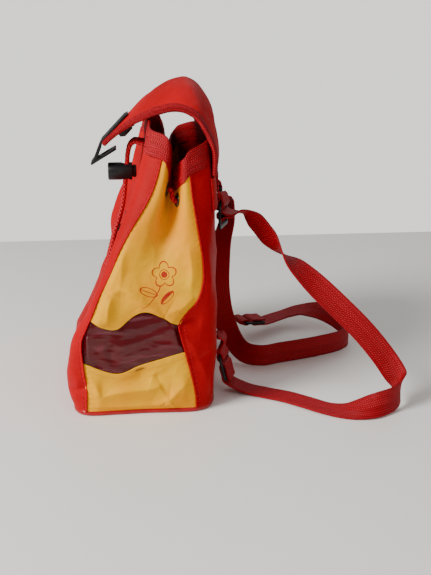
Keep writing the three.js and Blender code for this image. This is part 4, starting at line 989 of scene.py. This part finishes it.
def flap_point(t, q):
    """The flap's surface at a station, with q from -1 to 1 across it."""
    k = q * q
    y = middle_y(t) * (1 - k) + edge_y(t) * k
    z = HINGE_Z + middle_z(t) * (1 - k) + edge_z(t) * k
    return np.column_stack([q * flap_half(t), y, z])


def flap_out(t, q, e=0.03):
    along = flap_point(np.minimum(t + e, FLAP_TIP), q) - flap_point(np.maximum(t - e, 0), q)
    across = flap_point(t, q + e) - flap_point(t, q - e)
    return unit(np.cross(along, across))


def flap_surface(u, v):
    t = steps_between(0.02, FLAP_TIP - 0.05, u)
    q = (1 - 2 * v) * (1 - (FLAP_BINDING * 0.55) / flap_half(t))
    points, out = flap_point(t, q), flap_out(t, q)
    x, y, z = points.T
    drape = wandering(points, 30, 5.5) * 1.2 + (1 - np.abs(wandering(points, 16, 1.2))) * 0.6 - 0.4
    drape += crease(x, y, [(-60, 62), (-20, 50), (30, 52), (66, 60)], 1.6, 12, 9)
    drape += crease(x, y, [(-40, 20), (0, 12), (40, 22)], -1.4, 12, 12)
    drape += crease(x, z, [(-50, 300), (-46, 270), (-58, 245)], 1.4, 10, 10)
    drape += crease(x, z, [(44, 304), (52, 272), (46, 248)], 1.4, 10, 10)
    edge = np.clip((1 - np.abs(q)) * flap_half(t) / 14, 0, 1)
    ends = smoothed(t, 0, 0.8) * (1 - smoothed(t, 6.4, 7.2))
    return points + out * (drape * smoothed(edge, 0.3, 1.0) * ends)[:, None]


flap = laid("flap_cloth_sheet", 190, 130, flap_surface)
shell(flap, CLOTH)
flap.data.materials.append(red_nylon)
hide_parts("flap_cloth")
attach(flap, "flap")


def binding_surface(side):
    t_fine = np.linspace(0, FLAP_TIP, 500)
    run = np.concatenate([[0], np.cumsum(np.linalg.norm(
        np.diff(flap_point(t_fine, np.full(500, 0.96)), axis=0), axis=1))])

    def place(u, v):
        t = np.interp(u * run[-1], run, t_fine)
        turn = 2 * math.pi * v
        ends = np.minimum(np.minimum(u, 1 - u) / 0.012, 1)
        close = np.sqrt(np.clip(1 - (1 - ends) ** 2, 0.0004, 1))
        cos, sin = np.cos(turn), np.sin(turn)
        reach = FLAP_BINDING / 2 * np.sign(cos) * np.abs(cos) ** 0.75 * close
        into = (FLAP_BINDING / 2 - reach) / flap_half(t)
        q = side * (1 - into)
        points, out = flap_point(t, q), flap_out(t, q)
        weave = knuckles(u * run[-1], 1.1 * (reach + FLAP_BINDING / 2) + 30 * (sin < 0)) * 0.9
        swell = 1 + 0.16 * wandering(points, 9, 2.0 + side)
        thick = np.sign(sin) * np.abs(sin) ** 0.7 * (2.2 * swell + weave) * close
        puffed = wandering(points, 15, 6.0) * 0.5
        return points + out * (thick - CLOTH / 2 + puffed)[:, None]
    return place


for hand, side in (("right", 1), ("left", -1)):
    binding = laid(f"flap_edge_{hand}", 560, 26, binding_surface(side), tube=True)
    dress(binding, red_webbing, "flap", [f"flap_binding_{hand}"])
    t = np.linspace(0.1, 8.6, 400)
    q = side * (1 - (FLAP_BINDING - 0.6) / flap_half(t))
    line = flap_point(t, q) + flap_out(t, q) * 1.1
    stitches(f"flap_stitches_{hand}", line, flap_out(t, q), EDGE_PITCH, EDGE_STITCH, red_thread, "flap")


# ---------------------------------------------------------------- clasp
# A black plastic snap clasp: a bent tongue over the flap's point with a plate
# beneath it, and its lock with a push button, riveted to the front panel.
BLACK = (0.012, 0.012, 0.013, 1)
HARD_ABOVE, SHARP_ABOVE, FLAT_BELOW = 28, 40, 1.5   # degrees: edges to round, to keep sharp, to merge


def softened(name, node, width):
    """A copy of a CAD node with its hard edges rounded."""
    bm = bmesh.new()
    bm.from_mesh(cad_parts[node].data)
    bmesh.ops.remove_doubles(bm, verts=bm.verts, dist=1e-6)
    bmesh.ops.dissolve_limit(bm, angle_limit=math.radians(FLAT_BELOW), verts=bm.verts, edges=bm.edges)
    hard = [e for e in bm.edges if e.is_manifold and e.calc_face_angle() > math.radians(HARD_ABOVE)]
    bmesh.ops.bevel(bm, geom=hard, offset=width * MM, offset_type="OFFSET", segments=2, profile=0.5,
                    material=-1, affect="EDGES", clamp_overlap=True)
    bmesh.ops.triangulate(bm, faces=[f for f in bm.faces if len(f.verts) > 4])
    piece = placed(name, bm)
    piece.data.set_sharp_from_angle(angle=math.radians(SHARP_ABOVE))
    return piece


black_plastic = moulded("black plastic", BLACK)
for name, node, body, width in (("clasp_tongue_plate", "clasp_tongue", "flap", 0.35),
                                ("clasp_under_plate", "clasp_back_plate", "flap", 0.35),
                                ("clasp_lock", "clasp_base", "bag", 0.7),
                                ("clasp_push", "clasp_button", "clasp_button", 0.3),
                                ("clasp_inside_plate", "clasp_inner_plate", "bag", 0.3)):
    dress(softened(name, node, width), black_plastic, body, [node])


def steel_wire(name):
    """Drawn spring steel."""
    finish, base, join = new_finish(name, Metallic=1.0)
    drawn = base.cloud(800, 3)
    join("Base Color", drawn.blend((0.42, 0.42, 0.43, 1), (0.6, 0.6, 0.6, 1)))
    join("Roughness", drawn * 0.2 + 0.25)
    return finish


spring_steel = steel_wire("spring steel")
refinish("clasp_spring", spring_steel)
refinish("cord_lock_spring", spring_steel)


# ---------------------------------------------------------------- cord lock
# A black plastic barrel with a spring button in its open end. Both cords go
# through the hole in its side and are held by the button.
TOGGLE_Y, TOGGLE_Z = -13.5, 230.5
TOGGLE_RADIUS, TOGGLE_BORE = 9.5, 7.2
TOGGLE_FRONT, TOGGLE_BACK = TOGGLE_Y + 7, TOGGLE_Y - 19
CORD = 5.0


def pierced(piece, low, high, wide):
    """Cuts the rounded hole for the two cords down through a piece of the cord lock."""
    bm = bmesh.new()
    bmesh.ops.create_cube(bm, size=1, matrix=Matrix.Translation(Vector((0, (low + high) / 2, TOGGLE_Z)) * MM)
                          @ Matrix.Diagonal((wide * MM, (high - low) * MM, 0.05, 1)))
    upright = [e for e in bm.edges if abs(e.verts[0].co.z - e.verts[1].co.z) > 0.01]
    bmesh.ops.bevel(bm, geom=upright, offset=(high - low) * 0.4 * MM, offset_type="OFFSET", segments=6,
                    profile=0.5, material=-1, affect="EDGES")
    cutter = bpy.data.objects.new("cutter", bpy.data.meshes.new("cutter"))
    bm.to_mesh(cutter.data)
    bm.free()
    bpy.context.scene.collection.objects.link(cutter)
    hole = piece.modifiers.new("hole", "BOOLEAN")
    hole.object, hole.operation, hole.solver = cutter, "DIFFERENCE", "EXACT"
    bpy.context.view_layer.update()
    cut = bpy.data.meshes.new_from_object(piece.evaluated_get(bpy.context.evaluated_depsgraph_get()))
    piece.modifiers.clear()
    piece.data = cut
    bpy.data.objects.remove(cutter)
    for face in cut.polygons:
        face.use_smooth = True
    cut.set_sharp_from_angle(angle=math.radians(35))
    return piece


front, back, radius, bore_r = TOGGLE_FRONT, TOGGLE_BACK, TOGGLE_RADIUS, TOGGLE_BORE
barrel_section = [(0, -back), (radius - 1.4, -back), (radius - 0.5, -back - 0.35), (radius, -back - 1.3),
                  (radius, -(back + front) / 2), (radius, -front + 1.0), (radius - 0.3, -front + 0.3),
                  (radius - 0.9, -front), (bore_r + 0.4, -front), (bore_r, -front + 0.5), (bore_r, -back - 4),
                  (0, -back - 4)]
barrel = set_in(spun("cord_lock_case", barrel_section, 64), (0, 0, TOGGLE_Z), (1, 0, 0), (0, 0, 1), (0, -1, 0))
dress(pierced(barrel, TOGGLE_Y - 4.4, TOGGLE_Y + 4.4, 11.4), black_plastic, "cord_lock",
      ["cord_lock_barrel"])
push_back, push_front, push_r = TOGGLE_Y - 7.5, TOGGLE_FRONT + 4.5, TOGGLE_BORE - 0.4
button_section = [(0, -push_back), (push_r - 0.4, -push_back), (push_r, -push_back - 0.5),
                  (push_r, -push_front + 1.6), (push_r - 0.4, -push_front + 0.6), (push_r - 1.4, -push_front),
                  (push_r - 2.4, -push_front + 0.3), (0, -push_front + 0.5)]
button = set_in(spun("cord_lock_push", button_section, 64), (0, 0, TOGGLE_Z), (1, 0, 0), (0, 0, 1), (0, -1, 0))
dress(pierced(button, TOGGLE_Y - 3.7, TOGGLE_Y + 8.6, 11.4), black_plastic, "cord_lock_button",
      ["cord_lock_button"])


# ---------------------------------------------------------------- strap adjusters
# Black ladder locks with three bars, moulded in one piece. Each is held by
# a webbing tab round one bar, and the strap goes round the middle one.
for node, body in (("adjuster_top_right", "adjuster_top_right"), ("adjuster_top_left", "adjuster_top_left"),
                   ("adjuster_bottom_right", "bag"), ("adjuster_bottom_left", "bag")):
    dress(softened(node.replace("adjuster", "ladder_lock"), node, 0.55), black_plastic, body, [node])


# ---------------------------------------------------------------- webbing tabs
# Each is a short piece of strap webbing folded round its adjuster's bar,
# with both ends sewn down to the back of the bag.
STRAP_WIDTH, STRAP_THICK = 25, 1.5
GATHER = 0.8


def lock_frame(origin, across, down):
    """An adjuster's middle and its three directions: across the strap, along it and off its face."""
    d = unit(np.array(down, float))
    w = np.array(across, float)
    w = unit(w - d * w.dot(d))
    return np.array(origin, float), w, d, np.cross(w, d)


LOCKS = {
    "top_right": lock_frame((44, 87.55, 203), (0.94, -0.34, 0), (0, 0, -1)),
    "top_left": lock_frame((-44, 87.55, 203), (0.94, 0.34, 0), (0, 0, -1)),
    "bottom_right": lock_frame((66, 85, 41), (0.94, -0.34, 0.05), (0.1, 0.24, -0.96)),
    "bottom_left": lock_frame((-98, 127, 22), (0.93, 0.35, 0), (-0.35, 0.93, -0.12)),
}


def in_lock(lock, d, n):
    """A station of webbing given in an adjuster's frame: d along the strap, n off its face."""
    origin, w, along, out = LOCKS[lock]
    return [*(origin + along * d + out * n), *w]


def sampled(stations, step):
    """Even steps along the smooth curve through stations, with the width's direction at each."""
    rows = np.array(stations, float)
    points = np.vstack([2 * rows[0, :3] - rows[1, :3], rows[:, :3], 2 * rows[-1, :3] - rows[-2, :3]])
    fine = np.linspace(0, len(rows) - 1, (len(rows) - 1) * 40 + 1)
    k = np.minimum(fine.astype(int), len(rows) - 2)
    t = (fine - k)[:, None]
    path = curve_between(points[k], points[k + 1], points[k + 2], points[k + 3], t)
    across = rows[k, 3:] * (1 - t) + rows[k + 1, 3:] * t
    run = np.concatenate([[0], np.cumsum(np.linalg.norm(np.diff(path, axis=0), axis=1))])
    even = np.linspace(0, run[-1], max(int(run[-1] / step), 8) + 1)
    pick = lambda values: np.column_stack([np.interp(even, run, column) for column in values.T])
    return even, pick(path), pick(across), np.interp(even, run, fine)


def eased(values, times):
    """Values smoothed along their length, with both ends kept."""
    for _ in range(times):
        values = np.vstack([values[:1], (values[:-2] + 2 * values[1:-1] + values[2:]) / 4, values[-1:]])
    return values


def webbing(name, stations, width=STRAP_WIDTH, thick=STRAP_THICK, from_station=0, to_station=None, step=0.8):
    """Flat webbing along stations of a point and the direction of the width there, between two of them."""
    run, path, across, station = sampled(stations, step)
    tangent = unit(np.gradient(path, axis=0))
    across = eased(across, 12)
    across = unit(across - tangent * np.sum(across * tangent, axis=1, keepdims=True))
    turn = np.abs(np.sum(np.gradient(tangent, axis=0) * across, axis=1)) / step
    wide = max(int(6 / step), 1)
    sharpest = np.array([turn[max(i - wide, 0):i + wide + 1].max() for i in range(len(turn))])
    half = np.minimum(width / 2, GATHER / np.maximum(sharpest, 1e-6))
    half = eased(half[:, None], 20)[:, 0]
    out = np.cross(tangent, across)
    part = (station >= from_station) & (station <= (to_station if to_station is not None else len(stations)))
    run, path, across, half, out = run[part] - run[part][0], path[part], across[part], half[part], out[part]
    count = len(run) - 1

    def place(u, v):
        i = np.rint(u * count).astype(int)
        turn = 2 * math.pi * v
        cos, sin = np.cos(turn), np.sin(turn)
        side = np.clip(cos * 1.12, -1, 1)
        face = np.sign(sin) * np.minimum(np.abs(sin) * 3.2, 1) ** 0.7
        close = np.where((i == 0) | (i == count), 0.6, 1.0)
        selvage = 1 + 0.22 * np.exp(-((1 - np.abs(side)) * half[i] / 1.1) ** 2)
        weave = knuckles(run[i], (side + 1) * half[i] + 40) * 0.28
        lift = face * (thick / 2 * selvage + weave) * close
        return path[i] + across[i] * (side * half[i])[:, None] + out[i] * lift[:, None]

    piece = laid(name, count, 30, place, tube=True)
    return piece, run, path, across, out


TAB_PLY, TAB_STRAIGHT = 1.2, 7
BAR_TURN = [(-4, 1.9), (-1.5, 2.7), (1.2, 2.8), (3.1, 2.2), (3.8, 0), (3.1, -2.2), (1.2, -2.8), (-1.5, -2.7),
            (-4, -1.9)]
TAB_MIDDLES = {
    "top_right": [(43, 85.35, 213.7, 0.97, -0.24, 0)],
    "top_left": [(-43, 85.35, 213.7, 0.97, 0.24, 0)],
    "bottom_right": [(69, 78.4, 63, 1, -0.08, 0), (69, 83.6, 61.8, 1, -0.12, 0), (66.8, 84.8, 55.4, 0.95, -0.3, 0)],
    "bottom_left": [(-84, 77.3, 57, 1, 0.2, 0), (-85, 89, 52, 0.98, 0.25, 0), (-88, 107, 37, 0.95, 0.3, 0)],
}


def tab_stations(lock):
    """Both plies of a tab, from the back of the bag round its adjuster's bar and up again."""
    middle = [list(s) for s in TAB_MIDDLES[lock]] + [in_lock(lock, -TAB_STRAIGHT, 0)]

    def ply(side):
        rows = []
        for i, (x, y, z, *across) in enumerate(middle):
            before, after = middle[max(i - 1, 0)], middle[min(i + 1, len(middle) - 1)]
            normal = unit(np.cross(across, np.subtract(after[:3], before[:3])))
            rows.append([*(np.array((x, y, z)) + normal * side * TAB_PLY), *across])
        return rows

    return ply(1) + [in_lock(lock, d, n) for d, n in BAR_TURN] + ply(-1)[::-1]


for lock in LOCKS:
    tab = webbing(f"tab_{lock}", tab_stations(lock), step=0.7)[0]
    tab_node = "_".join((lock.split("_")[0], "tab", lock.split("_")[1]))
    dress(tab, red_webbing, "bag", [tab_node])


# ---------------------------------------------------------------- shoulder straps
# Two 25 mm webbing straps. Each is sewn round the middle bar of its upper
# adjuster, trails on the table, and is threaded through the lower one.
SEWN_LOOP = [(13.2, 13), (13.3, 9), (13.9, 5), (15.7, 1.6), (15.9, -1), (14, -3.3), (12, -3.6), (10, -3.3),
             (8.1, -1), (8.3, 1.6), (10.1, 5), (10.9, 9), (10.9, 14)]
THREADED = [(27, -2.9), (20, -2.9), (13, -3.2), (9.6, -2.6), (8.2, 0), (9.6, 2.6), (13, 3.2), (20, 2.9), (28, 3.4)]
STRAP_RIGHT = [
    (51, 108, 193, 0.85, -0.2, 0.4), (55, 120, 185, 0.6, 0.3, 0.7), (61, 134, 168, 0.7, 0.5, 0.5),
    (69, 148, 152, 1, 0.1, 0), (77, 163, 139, 0.8, -0.3, -0.5), (86, 186, 117, 0.3, -0.6, -0.7),
    (93, 206, 98, 0.1, -0.6, -0.7), (100, 227, 77, 0.1, -0.6, -0.75), (106, 244, 57, 0.1, -0.55, -0.8),
    (112, 257, 39, 0.1, -0.4, -0.9), (120, 264, 26, 0.05, -0.2, -1), (131, 263, 18.5, 0, 0, -1),
    (142, 254, 15, 0.1, 0.05, -1), (149, 238, 12.6, 0.4, 0, -0.9), (149, 219, 8, 0.85, 0, -0.5),
    (143, 203, 4.2, 1, 0, -0.12), (131, 186, 2.3, 1, -0.4, 0), (115, 169, 2.2, 1, -0.5, 0),
    (98, 150, 2.2, 1, -0.4, 0), (84, 129, 1.8, 1, -0.35, 0), (74, 110, 3.6, 0.97, -0.3, 0)]
STRAP_LEFT = [
    (-50, 104, 186, 0.9, 0.3, 0.2), (-50, 103, 165, 0.8, 0.5, 0), (-47, 96, 138, 0.6, 0.7, 0),
    (-46, 93, 112, 0.3, 0.9, 0.1), (-47, 93, 80, 0, 1, 0.1), (-44, 98, 46, 0, 0.9, 0.4),
    (-28, 107, 24, 0.1, 0.6, 0.8), (-6, 119, 14, 0, 0.3, 1), (4, 137, 13.2, 0, 0, 1), (-4, 160, 13, 0, 0, 1),
    (-12, 185, 13, 0, 0, 1), (-22, 211, 13, 0, 0, 1), (-38, 240, 13, 0, 0, 1), (-57, 254, 13.5, 0, 0, 1),
    (-80, 255, 16, -0.2, 0.1, 1), (-104, 248, 20, -0.3, 0.3, 0.9), (-126, 232, 22, -0.6, 0.4, 0.6),
    (-137, 210, 20, -0.9, 0.1, 0.2), (-133, 187, 16, -0.93, -0.35, 0)]
for hand, free, flip in (("right", STRAP_RIGHT, 1), ("left", STRAP_LEFT, -1)):
    sewn = [in_lock(f"top_{hand}", d, n) for d, n in SEWN_LOOP]
    threaded = [in_lock(f"bottom_{hand}", d, n) for d, n in THREADED]
    threaded = [[x, y, z, flip * a, flip * b, flip * c] for x, y, z, a, b, c in threaded]
    stations = sewn + [list(s) for s in free] + threaded
    leaves, enters = len(sewn) - 0.6, len(sewn) + len(free) - 0.4
    loop = webbing(f"strap_loop_{hand}", stations, to_station=leaves + 0.02)[0]
    dress(loop, red_webbing, "bag", [f"shoulder_strap_{hand}"])
    tail = webbing(f"strap_end_{hand}", stations, from_station=enters - 0.02)[0]
    dress(tail, red_webbing, "bag", [f"shoulder_strap_{hand}"])
    strap, run, path, across, out = webbing(f"strap_{hand}", stations, from_station=leaves, to_station=enters)
    dress(strap, red_webbing, "bag", [f"shoulder_strap_{hand}"])
    path[0] * MM
    run[-1] * MM
    [tuple(p) for p in path * MM]


# ---------------------------------------------------------------- drawstring
# A braided red cord: one loop from the cord lock round the inside of the
# mouth through the eyelets, and two tails that hang below the lock.
CORD_RED = (0.58, 0.0, 0.010, 1)
# Painted shade: this colour darkens the grooves between the braid's strands.
CORD_GROOVE_SHADE = (0.13, 0.0, 0.002, 1)
CORD_LIGHT = (0.86, 0.06, 0.08, 1)
BRAID_PITCH = 9.0


def braid(along, turn):
    """Height of an eight-strand braid, 0 to 1."""
    one = np.abs(np.sin(2 * turn + 2 * math.pi * along / BRAID_PITCH))
    other = np.abs(np.sin(2 * turn - 2 * math.pi * along / BRAID_PITCH))
    return np.maximum(one, other) ** 1.5


def braided(name):
    """Braided cord: painted shade in the grooves between its strands, and crowns paler in patches."""
    finish, base, join = new_finish(name, Specular_IOR_Level=0.2)
    along, turn, _ = base.node("ShaderNodeUVMap", {"uv_map": "UVMap"}).parts()
    turn = turn * (4 * math.pi / (math.pi * CORD * MM))
    slant = along * (2 * math.pi / (BRAID_PITCH * MM))
    height = (turn + slant).sin().size().maths("MAXIMUM", (turn - slant).sin().size())
    # painted shade: the colour darkens in the grooves between the strands
    tone = height.within(0.55, 0.97).blend(CORD_GROOVE_SHADE, CORD_RED)
    join("Base Color", (height.within(0.9, 1.0) * base.cloud(500).within(0.4, 0.7) * 0.6).blend(tone, CORD_LIGHT))
    join("Roughness", base.cloud(700) * 0.15 + 0.5)
    strands = ((along * 4 + turn * MM) * (2 * math.pi / 0.0012)).sin() * 0.5 + 0.5
    join("Normal", raised(strands, 0.00012, 0.5))
    return finish


def corded(name, points, step=0.7, sides=24):
    """Braided cord along points, round and closed at both ends."""
    run, path, _, _ = sampled([[*p, 0, 0, 1] for p in points], step)
    tangent = unit(np.gradient(path, axis=0))
    side = np.zeros_like(path)
    side[0] = unit(np.cross(tangent[0], (0.3, 0.9, 0.1)))
    for i in range(1, len(path)):
        side[i] = unit(side[i - 1] - tangent[i] * side[i - 1].dot(tangent[i]))
    other = np.cross(tangent, side)
    count = len(run) - 1

    def place(u, v):
        i = np.rint(u * count).astype(int)
        turn = 2 * math.pi * v
        ends = np.minimum(np.minimum(run[i], run[-1] - run[i]) / 1.6, 1)
        close = np.sqrt(np.clip(1 - (1 - ends) ** 2, 0.03, 1))
        radius = CORD / 2 * (0.84 + 0.2 * braid(run[i], turn)) * close
        return path[i] + side[i] * (radius * np.cos(turn))[:, None] + other[i] * (radius * np.sin(turn))[:, None]

    return laid(name, count, sides, place, tube=True), run, path


def through(node, start, end):
    """Two points of the cord on an eyelet's axis."""
    middle, out = EYELETS[node]
    return [tuple(middle + out * k) for k in (start, end)]


red_cord = braided("red cord")
half_loop = [(2.75, TOGGLE_Y + 0.6, TOGGLE_Z + 0.2), (2.8, TOGGLE_Y + 1.8, TOGGLE_Z + 10), (3.6, TOGGLE_Y + 2.6, 249),
             (6.5, -8, 259), (10.5, -3, 263), *through("eyelet_front_right", 5, -5), (22, 20, 258), (38, 22, 248),
             (60, 21, 236), (78, 17.5, 228), *through("eyelet_side_front_right", -6, 5),
             *through("eyelet_side_back_right", 5, -6), (84, 54, 226), (66, 64, 233), (40, 70, 240), (14, 72, 243)]
other_half = [(-x, y, z) for x, y, z in half_loop[::-1]]
loop, _, _ = corded("drawstring", half_loop + other_half)
dress(loop, red_cord, "bag", ["drawstring_loop"])
TAIL = [(2.75, TOGGLE_Y + 0.4, TOGGLE_Z - 0.2), (2.8, TOGGLE_Y - 0.8, 220), (2.9, TOGGLE_Y - 3.8, 197),
        (4.8, -21.6, 181), (8.2, -27.2, 165), (10, -31, 150), (10.8, -34.5, 137), (11.4, -38.6, 121)]
for hand, side in (("right", 1), ("left", -1)):
    tail, run, path = corded(f"cord_tail_{hand}", [(side * x, y, z) for x, y, z in TAIL])
    dress(tail, red_cord, "bag", [f"drawstring_tail_{hand}"])
    path[0] * MM
    run[-1] * MM
    [tuple(p) for p in path * MM]


# ---------------------------------------------------------------- table and light
# The bag stands on a plain pale table near a window, in soft daylight
# from the front left, with a pale room round it.
TABLE_EDGE = -0.63
TABLE_COLOUR = (0.95, 0.935, 0.905, 1)
ROOM_COLOUR = (0.75, 0.74, 0.71, 1)
ROOM_LIGHT = 0.42               # what falls on the bag
WALL_LIGHT = 1.75               # how bright the pale wall behind it is

bm = bmesh.new()
bmesh.ops.create_cube(bm, size=1, matrix=Matrix.Translation((TABLE_EDGE + 1.6, 0, -0.0125))
                      @ Matrix.Diagonal((3.2, 5.0, 0.025, 1)))
table = placed("table", bm, smooth=False)
table_top, base, join = new_finish("table top", Roughness=0.45)
join("Base Color", base.cloud(3, 3).blend(TABLE_COLOUR, tuple(c * 0.97 for c in TABLE_COLOUR[:3]) + (1,)))
table.data.materials.append(table_top)

for name, place, aim_at, size, power, colour in (
        ("window light", (0.75, -1.35, 1.25), (0, 0, 0.12), 0.8, 50, (1.0, 0.985, 0.96)),
        ("room light", (1.7, 0.9, 1.5), (0, 0.05, 0.1), 1.4, 5, (0.97, 0.985, 1.0)),
        ("back light", (-1.3, 0.6, 1.5), (0, 0, 0.15), 1.4, 5, (1.0, 1.0, 1.0))):
    lamp = bpy.data.lights.new(name, "AREA")
    lamp.shape, lamp.size, lamp.energy, lamp.color = "DISK", size, power, colour
    lamp_object = bpy.data.objects.new(name, lamp)
    lamp_object.location = place
    lamp_object.rotation_euler = (Vector(aim_at) - Vector(place)).to_track_quat("-Z", "Y").to_euler()
    bpy.context.scene.collection.objects.link(lamp_object)
room = bpy.data.worlds.new("room")
room.use_nodes = True
nodes, links = room.node_tree.nodes, room.node_tree.links
around = nodes["Background"]
around.inputs["Color"].default_value = ROOM_COLOUR
around.inputs["Strength"].default_value = ROOM_LIGHT
seen = nodes.new("ShaderNodeBackground")
seen.inputs["Color"].default_value = ROOM_COLOUR
seen.inputs["Strength"].default_value = WALL_LIGHT
either = nodes.new("ShaderNodeMixShader")
links.new(nodes.new("ShaderNodeLightPath").outputs["Is Camera Ray"], either.inputs[0])
links.new(around.outputs[0], either.inputs[1])
links.new(seen.outputs[0], either.inputs[2])
links.new(either.outputs[0], nodes["World Output"].inputs["Surface"])
bpy.context.scene.world = room
